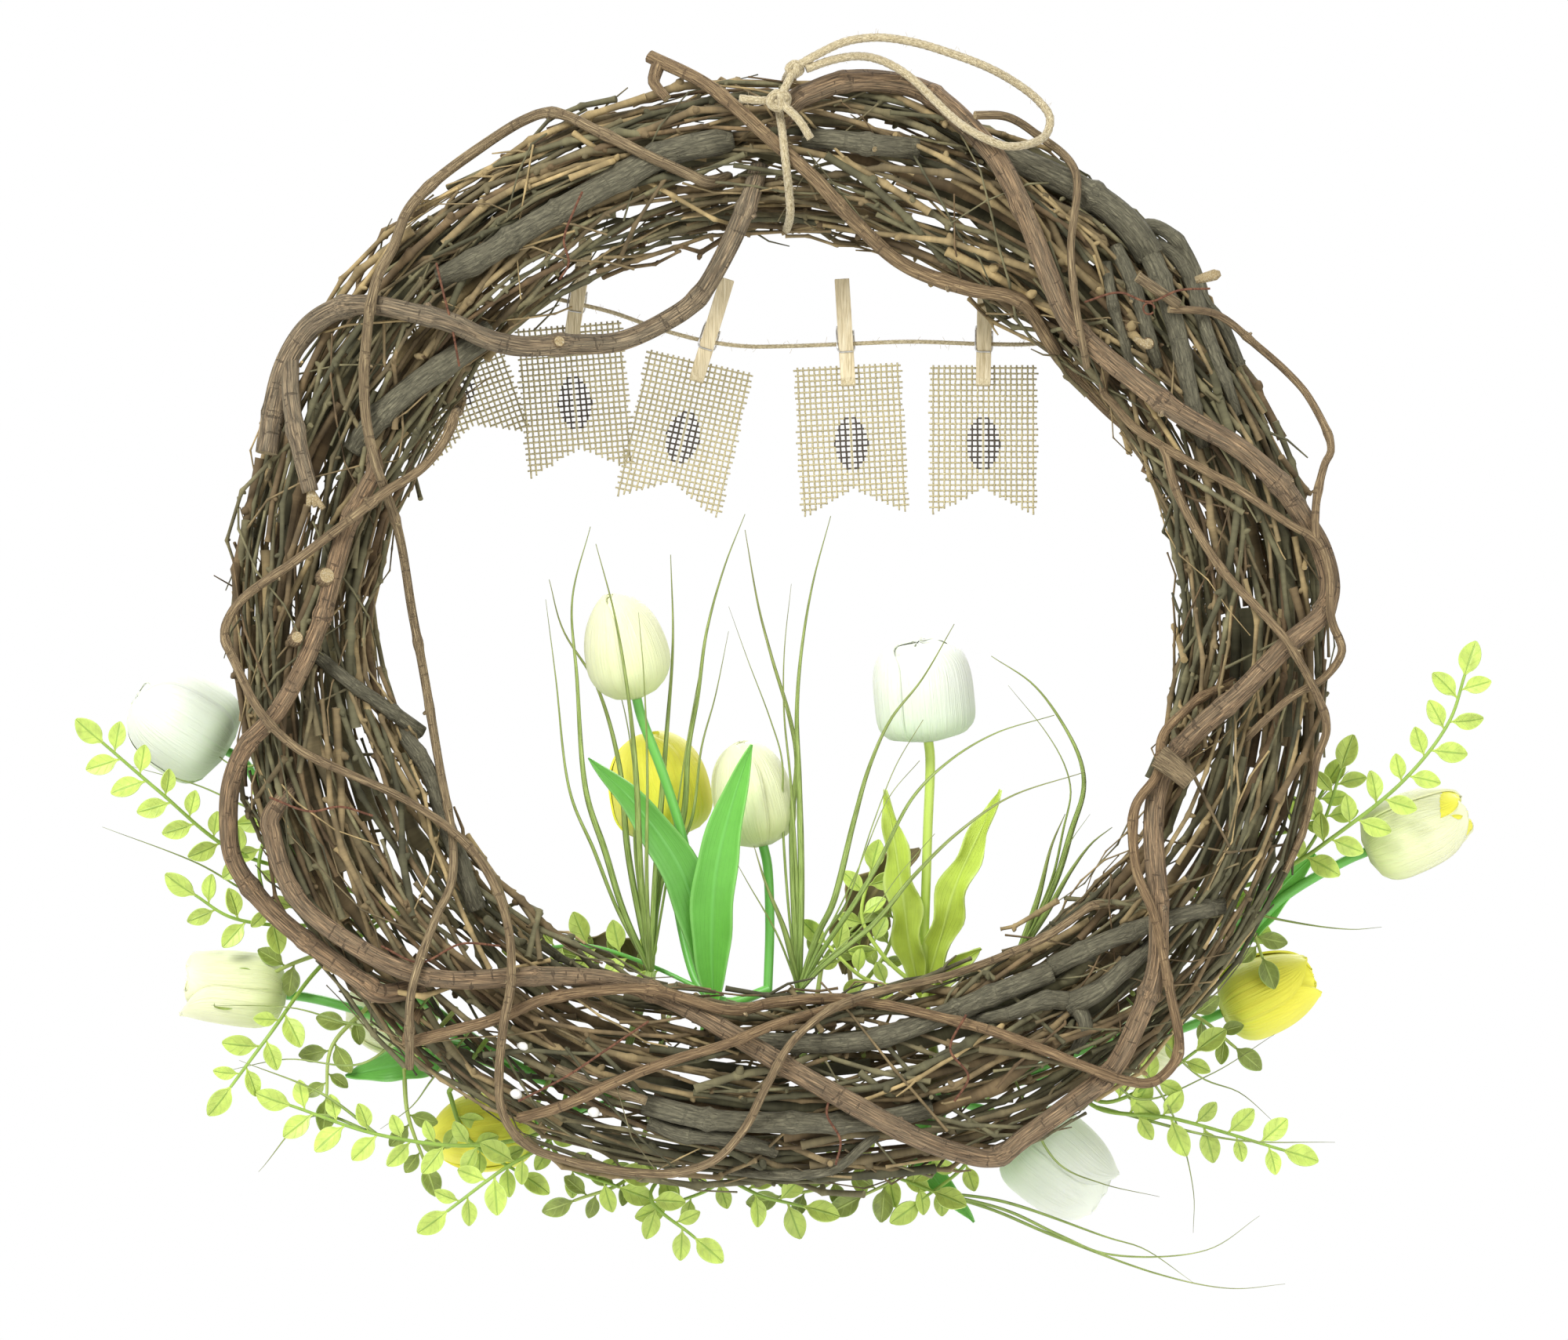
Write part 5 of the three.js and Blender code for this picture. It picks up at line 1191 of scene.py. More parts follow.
# Jute: the loop, its knots, and the garland's twine
LOOP_ROUTE = [
    (6, -30, 247), (15, -30, 252), (26, -29, 257), (40, -28, 259), (56, -27, 257), (73, -26, 252),
    (89, -24, 246), (102, -20, 239), (111, -18, 232), (116, -18, 225), (115, -20, 218), (109, -28, 213),
    (97, -34, 211), (88, -35, 214), (79, -34, 219), (72, -27, 225), (65, -24, 232), (57, -22, 240),
    (49, -21, 246), (40, -22, 250), (31, -25, 251), (20, -28, 249), (9, -30, 245),
]
TWINE_ROUTE = [
    (-188, 8, 136), (-188, 20, 141), (-180, 31, 147), (-169, 36, 151), (-161, 36, 153), (-143, 36, 155),
    (-115, 36, 150), (-93, 36, 145), (-77, 36, 141), (-60, 36, 135), (-47, 36, 131), (-34, 36, 128),
    (-18, 36, 126), (0, 36, 126), (27, 36, 127), (56, 36, 128), (88, 36, 127), (110, 36, 127),
    (135, 36, 130), (160, 35, 137), (174, 30, 139), (181, 20, 139), (179, 8, 135),
]
WRAP_ROUTE = [(-4, 233), (-2, 222), (0, 204), (2, 186), (2, 178)]
UPPER_KNOT = (4, -30, 245)
MAIN_KNOT = (-3, -35, 231)

# Radii, the run of one turn of the strands, and the step along a rope as a share of its radius
JUTE_RADIUS = 1.9
TWINE_RADIUS = 0.95
FIBRE_RADIUS = 0.07
JUTE_LAY = 9
TWINE_LAY = 5
ROPE_STEP = 0.62

# Cords: piece, node, route, radius, run of one turn of the strands, and how it lies
CORDS = [
    ("jute_loop", "hanging_loop", LOOP_ROUTE, JUTE_RADIUS, JUTE_LAY, "loose"),
    ("jute_twine", "garland_twine", TWINE_ROUTE, TWINE_RADIUS, TWINE_LAY, "hanging"),
]


def add_rope(body, route, radius, lay_length, strands=3, sides=16):
    """A twisted rope: its section is a few round strands that wind along it."""
    step = radius * ROPE_STEP
    points = spline(route, step)
    along = np.arange(len(points)) * step
    turns = turns_round(sides)
    wind = strands * (turns[None, :] - 2 * math.pi * (along / lay_length)[:, None])
    radii = radius * (0.86 + 0.16 * np.abs(np.cos(wind / 2)) ** 0.8)
    add_tube(body, points, radii, sides, tone=0.5)
    return points


def fuzz(name, routes, radius, count, seed):
    """Short loose fibres that stand off a rope."""
    draw = random.Random(seed)
    lines = []
    for route in routes:
        points = spline(route, 1.0)
        _, side, other = directions(points)
        for _ in range(round(count * len(points))):
            at = draw.randrange(len(points))
            turn = draw.uniform(0, 2 * math.pi)
            out = side[at] * math.cos(turn) + other[at] * math.sin(turn)
            drift = np.array([draw.uniform(-1, 1) for _ in range(3)]) * 1.6
            foot = points[at] + out * radius * 0.85
            fibre = np.array([foot, foot + out * 0.7 + drift * 0.5, foot + out * 1.1 + drift])
            lines.append((fibre, FIBRE_RADIUS, draw.random()))
    return sweep(name, lines, finish("jute"), 3)


class WREATH_OT_cords(bpy.types.Operator):
    """Make the two jute cords: the hanging loop and the garland's twine"""

    bl_idname = "wreath.cords"
    bl_label = "Cords"

    def execute(self, context):
        for name, node, route, radius, lay_length, lay_kind in CORDS:
            body = Body()
            points = add_rope(body, route, radius, lay_length)
            cord = body.build(name, [finish("jute")])
            stand_for(cord, "jute", node)
            loose = fuzz(name + "_fibres", [route], radius, 0.5, name)
            stand_for(loose, "jute")
            metres(points[0])
            metres(points).tolist()
        return {"FINISHED"}


class WREATH_OT_knots(bpy.types.Operator):
    """Make the loop's two knots, the wrap round the ring and the frayed tails"""

    bl_idname = "wreath.knots"
    bl_label = "Knots"

    def execute(self, context):
        body = Body()
        wrap = self.wrap_route()
        tail = [MAIN_KNOT, (6, -38, 222), (11, -38, 214)]
        tie = [UPPER_KNOT, (1, -34, 239), MAIN_KNOT]
        left = [MAIN_KNOT, (-11, -34, 231), (-20, -32, 232)]
        for route in (wrap, tail, tie, left):
            add_rope(body, route, JUTE_RADIUS, JUTE_LAY)
        for centre, wide in ((UPPER_KNOT, 2.9), (MAIN_KNOT, 4.2)):
            for turn in (0.3, 1.9):
                add_rope(body, self.coil(centre, wide, turn), JUTE_RADIUS * 0.95, JUTE_LAY)
        piece = body.build("jute_knots", [finish("jute")])
        stand_for(piece, "jute", "loop_knots")
        stand_for(fuzz("jute_knot_fibres", [wrap, tail, tie, left], JUTE_RADIUS, 0.6, 3), "jute")
        return {"FINISHED"}

    def wrap_route(self):
        middle, half = section_at(90)
        front = []
        for share in (-1, -0.6, 0, 0.6, 1):
            depth = RING_DEPTH * math.sqrt(1 - share * share)
            front.append((0, depth, middle + share * (half + JUTE_RADIUS)))
        laid = lay(WRAP_ROUTE, JUTE_RADIUS, [])
        back = [(x, y - 6 * math.exp(-((z - 206) / 12) ** 2), z) for x, y, z in laid[1::2]]
        return [MAIN_KNOT, *back, *front, UPPER_KNOT]

    def coil(self, centre, wide, turn):
        """A turn and a half of cord round a knot, leaning by turn."""
        points = []
        for step in np.linspace(0, 3 * math.pi, 13):
            across = wide * math.cos(step)
            up = wide * math.sin(step)
            points.append((
                centre[0] + across * math.cos(turn), centre[1] - 1.3 * math.sin(step * 0.66),
                centre[2] + up * 0.8 + across * math.sin(turn) * 0.4))
        return points


# Garland. A peg has its jaw end's x and z and its lean, and its pennant a lean and a bend
PEGS = [
    ("1", (-154.5, 134.5), 19, 19, 11),
    ("2", (-96, 126), -9, 5, 1),
    ("3", (-40, 110), -17, -13, -6),
    ("4", (28, 108), 3.5, 3, 3),
    ("5", (88, 108), -1, 0, -2),
]

# The spring: its wire, its coil, how far that stands out past the peg's sides, and the depth at which its
# legs lie. The eased edge of a half is in metres.
WIRE_RADIUS = 0.38
COIL_RADIUS = 2.15
COIL_TURNS = 4
COIL_CLEAR = 0.5
LEG_DEPTH = 4.25
PEG_EDGE = 0.00028

# A burlap thread: how far it rises over the next one and strays from its line, and the step along it
THREAD_RADIUS = 0.45
THREAD_RISE = 0.34
THREAD_STRAY = 0.12
THREAD_STEP = 1.25


def leaning(points, jaw, lean):
    """Places given as across, depth and up from a peg's jaw end, turned by its lean."""
    across, depth, up = np.asarray(points, float).T
    turn = math.radians(lean)
    return np.column_stack([
        jaw[0] + across * math.cos(turn) - up * math.sin(turn), GARLAND_DEPTH + depth,
        jaw[1] + across * math.sin(turn) + up * math.cos(turn)])


class WREATH_OT_pegs(bpy.types.Operator):
    """Make the clothes-pegs: both halves with eased edges, and their wire springs"""

    bl_idname = "wreath.pegs"
    bl_label = "Clothes-pegs"

    def execute(self, context):
        for number, jaw, lean, _, _ in PEGS:
            for half, body in (("fixed", "root"), ("sprung", f"peg_{number}_jaw")):
                node = f"peg_{number}_{half}_half"
                stand_for(self.eased(node), "peg_wood", node, body=body)
                wire = self.wire(jaw, lean, half)
                stand_for(sweep(f"peg_{number}_{half}_wire", wire, finish("wire"), 8), "peg_wood", body=body)
        return {"FINISHED"}

    def eased(self, node):
        """The half's own solid with its flat faces whole and its edges eased."""
        piece = placed(node + "_wood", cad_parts[node].data.copy())
        piece.data.materials.clear()
        piece.data.materials.append(finish("peg_wood"))
        weld = piece.modifiers.new("Weld", "WELD")
        weld.merge_threshold = 0.00002
        flat = piece.modifiers.new("Whole faces", "DECIMATE")
        flat.decimate_type = "DISSOLVE"
        flat.angle_limit = math.radians(3)
        bevel = piece.modifiers.new("Eased edges", "BEVEL")
        bevel.width = PEG_EDGE
        bevel.segments = 2
        bevel.limit_method = "ANGLE"
        bevel.angle_limit = math.radians(35)
        piece.data = settled(piece)
        keep_values(piece.data, "tone", [0.5] * len(piece.data.vertices))
        return piece

    def wire(self, jaw, lean, half):
        """The coil goes with the fixed half, and each half carries its own leg of the spring."""
        side = 1 if half == "fixed" else -1
        out = side * LEG_DEPTH
        edge = PEG_WIDTH / 2 + COIL_CLEAR
        leg = [(side * edge, 0.6 * side, PEG_PIVOT), (side * edge, out * 0.6, 21.5), (side * edge, out, 17),
               (side * edge * 0.8, out, 15.6), (0, out, 15.4), (-side * edge * 0.75, out, 15.4)]
        lines = [(leaning(spline(leg, 0.8), jaw, lean), WIRE_RADIUS, 0.5)]
        if half == "fixed":
            turns = np.linspace(0, COIL_TURNS * 2 * math.pi, 60)
            depths, heights = COIL_RADIUS * np.cos(turns), PEG_PIVOT + COIL_RADIUS * np.sin(turns)
            coil = np.column_stack([np.linspace(-edge, edge, len(turns)), depths, heights])
            lines.append((leaning(coil, jaw, lean), WIRE_RADIUS, 0.5))
        return lines


class WREATH_OT_pennants(bpy.types.Operator):
    """Weave the burlap pennants thread by thread"""

    bl_idname = "wreath.pennants"
    bl_label = "Pennants"

    def execute(self, context):
        for number, jaw, _, lean, bend in PEGS:
            body = Body()
            self.weave(body, jaw, lean, bend, random.Random(number))
            piece = body.build(f"burlap_{number}", [finish("burlap")])
            node = f"pennant_{number}"
            stand_for(piece, "burlap", node)
        return {"FINISHED"}

    def weave(self, body, jaw, lean, bend, draw):
        """Warp threads run down, weft threads across, and each passes over and under the other."""
        pitch = 1000 * settings().weave_pitch
        columns = round(FLAG_WIDTH / pitch)
        rows = round(FLAG_LENGTH / pitch)
        xs = [(i + 0.5) * FLAG_WIDTH / columns - FLAG_WIDTH / 2 for i in range(columns)]
        downs = [(i + 0.5) * FLAG_LENGTH / rows for i in range(rows)]
        rise = (-THREAD_RISE, THREAD_RISE)
        for i, x in enumerate(xs):
            length = self.length_at(x)
            crossings = [(x, rise[(i + j) % 2], down) for j, down in enumerate(downs) if down < length]
            end = length + draw.uniform(-0.3, 0.8)
            self.add_thread(body, [(x, 0, 0), *crossings, (x, 0, end)], jaw, lean, bend, draw)
        for j, down in enumerate(downs):
            crossings = [(x, -rise[(i + j) % 2], down) for i, x in enumerate(xs) if self.length_at(x) > down]
            for sign in (-1, 1):
                part = [stop for stop in crossings if stop[0] * sign > 0]
                part.sort(key=lambda stop: stop[0] * sign)
                if down < FLAG_LENGTH - FLAG_NOTCH:
                    part.insert(0, (0, 0, down))
                if len(part) > 1:
                    part.append((sign * (FLAG_WIDTH / 2 + draw.uniform(-0.2, 1.1)), 0, down))
                    self.add_thread(body, part, jaw, lean, bend, draw)

    def length_at(self, x):
        return FLAG_LENGTH - FLAG_NOTCH * (1 - abs(x) / (FLAG_WIDTH / 2))

    def add_thread(self, body, line, jaw, lean, bend, draw):
        """One thread, given as across, depth and way down, with its uneven thickness."""
        places = []
        for across, depth, down in line:
            share = down / self.length_at(across)
            across += draw.uniform(-THREAD_STRAY, THREAD_STRAY)
            places.append((across, depth + bend * share ** 3, PEG_GRIP - down))
        fine = spline(places, THREAD_STEP)
        radii = THREAD_RADIUS * np.array([draw.uniform(0.85, 1.15) for _ in fine])
        middle = PEG_GRIP - FLAG_LENGTH * 0.52
        flat = np.column_stack([fine[:, 0], fine[:, 2] - middle, np.zeros(len(fine))])
        add_tube(body, leaning(fine, jaw, lean), radii, 5, tone=draw.random(), leaf=flat)


# Tulips: base and tip of the axis, finish, turn about the axis, width, how square the outline is and how
# open the top is
TULIPS = {
    "tulip_1": ((-66, 10, -30), (-77, -2, 16), "petal_cream", 20, 0.96, 2.1, 0.05),
    "tulip_2": ((-52, 55, -93), (-61, 53, -46), "petal_yellow", 70, 1.15, 2.5, 0.08),
    "tulip_3": ((-10, 36, -96), (-20, 34, -50), "petal_cream", 45, 0.92, 2.5, 0.08),
    "tulip_4": ((63, 12, -48), (58, 4, -5), "petal_white", 10, 1.12, 3.8, 0.08),
    "tulip_5": ((-249, 36, -54), (-289, 32, -29), "petal_white", 30, 1.18, 2.9, 0.1),
    "tulip_6": ((-223, 42, -163), (-268, 40, -158), "petal_cream", 80, 0.86, 2.6, 0.85),
    "tulip_7": ((-112, 50, -220), (-158, 54, -228), "petal_yellow", 0, 0.95, 2.4, 0.1),
    "tulip_8": ((104, 52, -224), (141, 56, -254), "petal_white", 50, 1.12, 2.8, 0.66),
    "tulip_9": ((195, 46, -171), (236, 44, -154), "petal_yellow", 15, 0.92, 2.5, 0.55),
    "tulip_10": ((259, 38, -99), (304, 36, -80), "petal_cream", 60, 0.92, 3.0, 0.5),
    "tulip_11": ((-158, 54, -178), (-196, 66, -166), "petal_cream", 25, 0.95, 2.4, 0.06),
    "tulip_12": ((138, 60, -181), (172, 72, -196), "petal_cream", 40, 0.95, 2.4, 0.06),
}
YELLOW_HEARTED = "tulip_10"
TULIP_MIDDLE = 0.36
OPEN_TOP = 0.4

# The outer and the inner ring of petals: degrees that a petal reaches to each side, its length and its
# opening as shares of the head's, how deep it is sunk, how far its edges lift, and how blunt it is. On a
# closed head the outer petals lie closer and are blunter.
PETAL_RINGS = ((78, 1.0, 1.0, 0.9, 0.95, 4.2), (66, 0.985, 0.8, 2.8, 0.4, 14))
CLOSED_LIFT = 0.7
CLOSED_BLUNT = 8

# Columns and rows of a petal, and the size of the bud inside: its width and its length as shares of the
# head's, where the petals stand open and where they are closed, its sections and its sides
PETAL_SHEET = (14, 28)
HEART_WIDTH = 0.78
HEART_LENGTHS = (0.93, 0.965)
HEART_ROWS = 20
HEART_SIDES = 24


class WREATH_OT_tulips(bpy.types.Operator):
    """Make the tulip heads, each of three outer petals wrapped round three inner ones"""

    bl_idname = "wreath.tulips"
    bl_label = "Tulips"

    def execute(self, context):
        thick = 1000 * settings().petal_thickness
        for name, (base, tip, petals, turn, width, square, opening) in TULIPS.items():
            draw = random.Random(name)
            body = Body()
            for ring in (0, 1):
                for part in range(3):
                    spin = turn + part * 120 + ring * 60
                    kind = 2 if ring == 1 and name == YELLOW_HEARTED else 0
                    self.add_petal(body, spin, ring, width, square, opening, thick, kind, draw)
            self.add_heart(body, width, square, opening)
            self.aim(body, base, tip)
            coats = [finish(petals), finish("stem_lime"), finish("petal_yellow")]
            stand_for(body.build(name + "_petals", coats), petals, name)
        return {"FINISHED"}

    def add_petal(self, body, turn, ring, width, square, opening, thick, kind, draw):
        """One petal: ring 0 is outside and ring 1 inside. Its left edge laps under the next one's right."""
        reach, length, opened, sunk, lift, blunt = PETAL_RINGS[ring]
        reach *= draw.uniform(0.96, 1.04)
        tall = TULIP_LENGTH * length * draw.uniform(0.97, 1.0)
        ruffle = draw.uniform(0, 6)
        opened *= opening * draw.uniform(0.96, 1.04)
        if ring == 0 and opening <= OPEN_TOP:
            lift, blunt = CLOSED_LIFT, CLOSED_BLUNT
        point = draw.uniform(-9, 9)

        def point_at(across, share):
            along = 1 - (1 - share) ** 1.5
            narrow = max(0.05, (1 - max(0.0, (along - 0.4) / 0.6) ** blunt) ** 0.5)
            swell = self.swell(along, square, opened)
            radius = TULIP_RADIUS * swell * width - sunk * min(1, 1.6 * swell)
            radius += (lift * across * narrow ** 2 - 0.5 * (1 - across * across) * along) * min(1, 2 * swell)
            radius += 0.3 * math.sin(9 * along + ruffle + 2 * across) * across * across * along * swell
            height = tall * along + 0.6 * across * across * (1 - along)
            height += 0.8 * math.sin(5 * across + ruffle) * along ** 8 * opening
            angle = math.radians(turn + across * reach * narrow + point * along)
            return (max(0.1, radius) * math.sin(angle), height, max(0.1, radius) * math.cos(angle))

        add_slab(body, point_at, *PETAL_SHEET, thick, tone=draw.random(), kind=kind)

    def swell(self, along, square, opening):
        """Share of the head's radius at a height: a rounded foot, a full middle and a rounded top."""
        if along < TULIP_MIDDLE:
            rise = 1 - (1 - (along + 0.004) / (TULIP_MIDDLE + 0.004)) ** square
            return rise ** (1 / square)
        over = (along - TULIP_MIDDLE) / (1 - TULIP_MIDDLE)
        return opening + (1 - opening) * (1 - over ** square) ** (1 if opening > OPEN_TOP else 1.25 / square)

    def add_heart(self, body, width, square, opening):
        """The closed bud inside the petals, and the green cap under them."""
        along = np.linspace(0.02, 1, HEART_ROWS)
        leaf = along[:, None] * np.array([0, 1, 0])
        tall = TULIP_LENGTH * HEART_LENGTHS[0 if opening > OPEN_TOP else 1]
        radii = np.array([max(0.04, self.swell(share, square, 0)) for share in along])
        add_tube(body, tall * leaf, TULIP_RADIUS * width * HEART_WIDTH * radii, HEART_SIDES, leaf=leaf)
        cap = np.array([3.2, 4.8, 5.6]) * width
        add_tube(body, [(0, -0.3, 0), (0, 0.7, 0), (0, 2.4, 0)], cap, 12, kind=1)

    def aim(self, body, base, tip):
        """Turn the upright head so that it runs from base to tip."""
        axis = Vector(tip) - Vector(base)
        turned = np.array(Vector((0, 1, 0)).rotation_difference(axis.normalized()).to_matrix())
        long = axis.length / TULIP_LENGTH
        for part in body.parts:
            part[0] = (part[0] * [1, long, 1]) @ turned.T + np.array(base)


# Radii of a tulip's stem, of a tie that joins stems and of a thin stalk, and how far below its head a stem
# starts and runs straight
STEM_RADIUS = 2.2
TIE_RADIUS = 2.4
STALK_RADIUS = 1.1
NECK_GAP = 0.45
NECK_LENGTH = 9

# Leaves and leaflets: their thickness, a leaf's columns, and a leaflet's columns and rows
LEAF_THICKNESS = 0.9
LEAF_COLUMNS = 10
LEAFLET_THICKNESS = 0.5
LEAFLET_SHEET = (6, 12)

# Stems and long leaves of the tulips. A stem starts at a tulip's neck, or is a tie that joins the stems. A
# leaf has its route, half width and waves, and a sprig its route, where its leaflets start, and its size.
LEFT_FOOT = (-72, 33, -208)
RIGHT_FOOT = (72, 33, -208)
STEM_GROUPS = {
    "stems_inner_left": {
        "finish": "stem_green",
        "stems": [
            ("tulip_1", [(-54, 14, -65), (-45, 16, -95), (-40, 22, -130), (-34, 30, -164)]),
            ("tulip_2", [(-48, 49, -125), (-40, 36, -156), (-34, 31, -164)]),
            ("tulip_3", [(-7, 35, -130), (-8, 32, -164)]),
            (None, [(-36, 31, -160), (-26, 31.5, -166), (-7, 31.5, -160)]),
            (None, [(-34, 32, -158), (-35, 29, -172), (-38, 8, -192)]),
        ],
        "leaves": [
            ([(-33, 30, -166), (-36, 24, -140), (-46, 14, -108), (-66, 5, -78), (-87, -1, -57)], 9, 0.5),
            ([(-32, 29, -168), (-33, 22, -140), (-31, 12, -108), (-24, 4, -78), (-15, -2, -51)], 9.5, 0.5),
        ],
        "sprigs": [([(-34, 32, -162), (-60, 41, -150), (-88, 38, -141), (-110, 34, -142)], 0.15, 1)],
        "seed": 7,
    },
    "stems_inner_right": {
        "finish": "stem_lime",
        "stems": [
            ("tulip_4", [(63, 18, -90), (62, 24, -125), (61, 31, -160)]),
            (None, [(61, 32, -156), (62, 30, -168), (66, 8, -190)]),
        ],
        "leaves": [
            ([(60, 30, -164), (55, 24, -140), (51, 14, -112), (44, 6, -71)], 6.8, 2.6),
            ([(61, 31, -164), (68, 26, -140), (76, 16, -112), (95, 6, -71)], 6.8, 2.6),
            ([(61, 33, -164), (74, 33, -152), (87, 32, -142)], 5, 0.5),
        ],
        "sprigs": [
            ([(60, 33, -160), (44, 38, -146), (34, 40, -128), (38, 40, -108)], 0.15, 0.9),
            ([(60, 33, -160), (36, 36, -156), (18, 38, -140)], 0.15, 0.9),
        ],
        "seed": 8,
    },
    "stems_outer_left": {
        "finish": "stem_green",
        "stems": [
            ("tulip_5", [(-228, 36, -84), (-205, 34, -125), (-165, 33, -162), (-115, 33, -196), LEFT_FOOT]),
            ("tulip_6", [(-190, 40, -170), (-150, 35, -186), (-110, 33, -200), (-72, 33, -209)]),
            ("tulip_7", [(-95, 42, -215), (-72, 34, -210)]),
            ("tulip_11", [(-135, 42, -188), (-105, 34, -200), LEFT_FOOT]),
            (None, [(-74, 34, -208), (-70, 30, -207), (-66, 8, -204)]),
        ],
        "leaves": [([(-140, 34, -186), (-165, 38, -192), (-196, 36, -199)], 8, 0.5)],
        "sprigs": [],
        "seed": 9,
    },
    "stems_outer_right": {
        "finish": "stem_green",
        "stems": [
            ("tulip_10", [(221, 36, -120), (196, 34, -146), (150, 33, -178), (100, 33, -200), RIGHT_FOOT]),
            ("tulip_9", [(165, 37, -182), (125, 33, -196), RIGHT_FOOT]),
            ("tulip_8", [(88, 42, -214), (72, 34, -209)]),
            ("tulip_12", [(118, 46, -188), (90, 34, -202), RIGHT_FOOT]),
            (None, [(74, 34, -208), (70, 30, -207), (66, 8, -204)]),
        ],
        "leaves": [
            ([(198, 34, -144), (212, 37, -124), (236, 38, -100)], 7.5, 0.5),
            ([(72, 34, -209), (60, 36, -232), (84, 36, -264)], 6, 0.5),
        ],
        "sprigs": [],
        "seed": 10,
    },
}


def neck(name):
    """Where a stem meets its tulip, and a little before."""
    base, tip = np.array(TULIPS[name][0], float), np.array(TULIPS[name][1], float)
    down = unit(base - tip)
    return [tuple(base + down * below) for below in (NECK_GAP, NECK_LENGTH)]


def add_leaf(body, route, width, wave, draw, fold=0.25, blunt=0.8, rows=30):
    """A long leaf along a spine: pointed, folded along its middle and waved at its edges."""
    spine = spline(route, line_length(np.array(route, float)) / 60)
    onward = np.gradient(spine, axis=0)
    phase = draw.uniform(0, 6)

    def point_at(across, along):
        at = along * (len(spine) - 1)
        i = min(int(at), len(spine) - 2)
        centre = spine[i] + (spine[i + 1] - spine[i]) * (at - i)
        direction = unit(onward[i])
        sideways = unit(np.cross(direction, (0, -1, 0)))
        normal = unit(np.cross(sideways, direction))
        reach = max(0.35, width * math.sin(math.pi * along ** blunt) ** 0.75) if 0 < along < 1 else 0.35
        reach *= 1 + 0.1 * wave * math.sin(along * 21 + phase + 1.4 * across) * min(1, along * 4)
        lift = across * across * fold * reach
        lift += across * math.sin(along * 17 + phase) * wave * min(1, along * 4) * 0.7
        lift += 0.25 * math.sin(along * 41 + phase) * across * across * wave
        return centre + sideways * across * reach + normal * lift

    add_slab(body, point_at, LEAF_COLUMNS, rows, LEAF_THICKNESS, tone=draw.random())


def leaflet_shape():
    """One leaflet of unit length along X, its face to Z: an oval with a fold, drooping to its tip."""
    body = Body()

    def point_at(across, along):
        blade = min(0.99, max(0.0, (along - 0.14) / 0.86))
        wide = max(LEAFLET_WIDTH / LEAFLET_LENGTH * 0.46 * math.sin(math.pi * blade ** 0.92) ** 0.6, 0.03)
        return np.array([along, across * wide, 0.3 * abs(across) * wide - 0.1 * along * along])

    add_slab(body, point_at, *LEAFLET_SHEET, LEAFLET_THICKNESS / LEAFLET_LENGTH)
    # build() takes millimetres on the wreath, but this shape is one long at the origin, without a tone
    for part in body.parts:
        part[0] = part[0] * 1000 + KNOT
        part[-1].pop("tone")
    shape = body.build("leaflet_shape", [])
    shape.hide_render = True
    return shape


def sprig(route, start, size, draw):
    """Stem line and leaflet places of a sprig, by the rule that placed them on the solids."""
    points = spline(route, PLANT_STEP)
    length = line_length(points)

    def leaflet(along, side, grown):
        share = min(0.99, max(0.01, along))
        at = share * (len(points) - 1)
        i = min(int(at), len(points) - 2)
        onward = unit(points[i + 1] - points[i])
        sideways = unit(np.cross((0, 1, 0), onward))
        foot = points[i] + (points[i + 1] - points[i]) * (at - i) + sideways * side * LEAFLET_ROOT
        lean = 0 if side == 0 else math.radians(LEAFLET_LEAN)
        reach = onward * math.cos(lean) + sideways * side * math.sin(lean)
        reach[1] += between(-0.2, 0.1, draw())
        reach = unit(reach)
        facing = unit((between(-0.22, 0.22, draw()), -1, between(-0.22, 0.22, draw())))
        over = unit(np.cross(reach, facing))
        roll = LEAFLET_ROLL * math.sin(along * 53 + 2 * side)
        over = unit(over + unit(np.cross(over, reach)) * roll)
        face = unit(np.cross(over, reach))
        turn = Matrix((reach, np.cross(face, reach), face)).transposed().to_quaternion()
        size = LEAFLET_LENGTH * grown / 1000 * (1.1 + 0.18 * math.sin(along * 71 + side))
        return foot, turn, size, abs(math.sin(along * 37 + side))

    pitch = LEAFLET_PITCH * size / length
    places = []
    for i in range(max(1, math.floor((1 - start) / pitch))):
        along = 1 - (i + 0.6) * pitch
        for side in (-1, 1):
            grown = size * between(0.85, 1.05, draw())
            places.append(leaflet(along + side * LEAFLET_STAGGER / length, side, grown))
    places.append(leaflet(1, 0, size))
    radii = np.linspace(1.15, 0.7, len(points))
    return (points, radii, 0.5), places


def plant(name, green, lines, places, body, slot, stands=True):
    """One piece of stems, leaflets and long leaves, which may stand for the node of that name."""
    parts = [sweep(name + "_stems", lines, finish(green), 8)]
    if places:
        shape = bpy.data.objects.get("leaflet_shape") or leaflet_shape()
        lime = "leaflet_lime" if green.startswith("stem") else green
        parts.append(scatter(name + "_leaflets", places, shape, finish(lime)))
    if body and body.parts:
        parts.append(body.build(name + "_leaves", [finish(green)]))
    return stand_for(join(name + "_green", parts), slot, *([name] if stands else []))


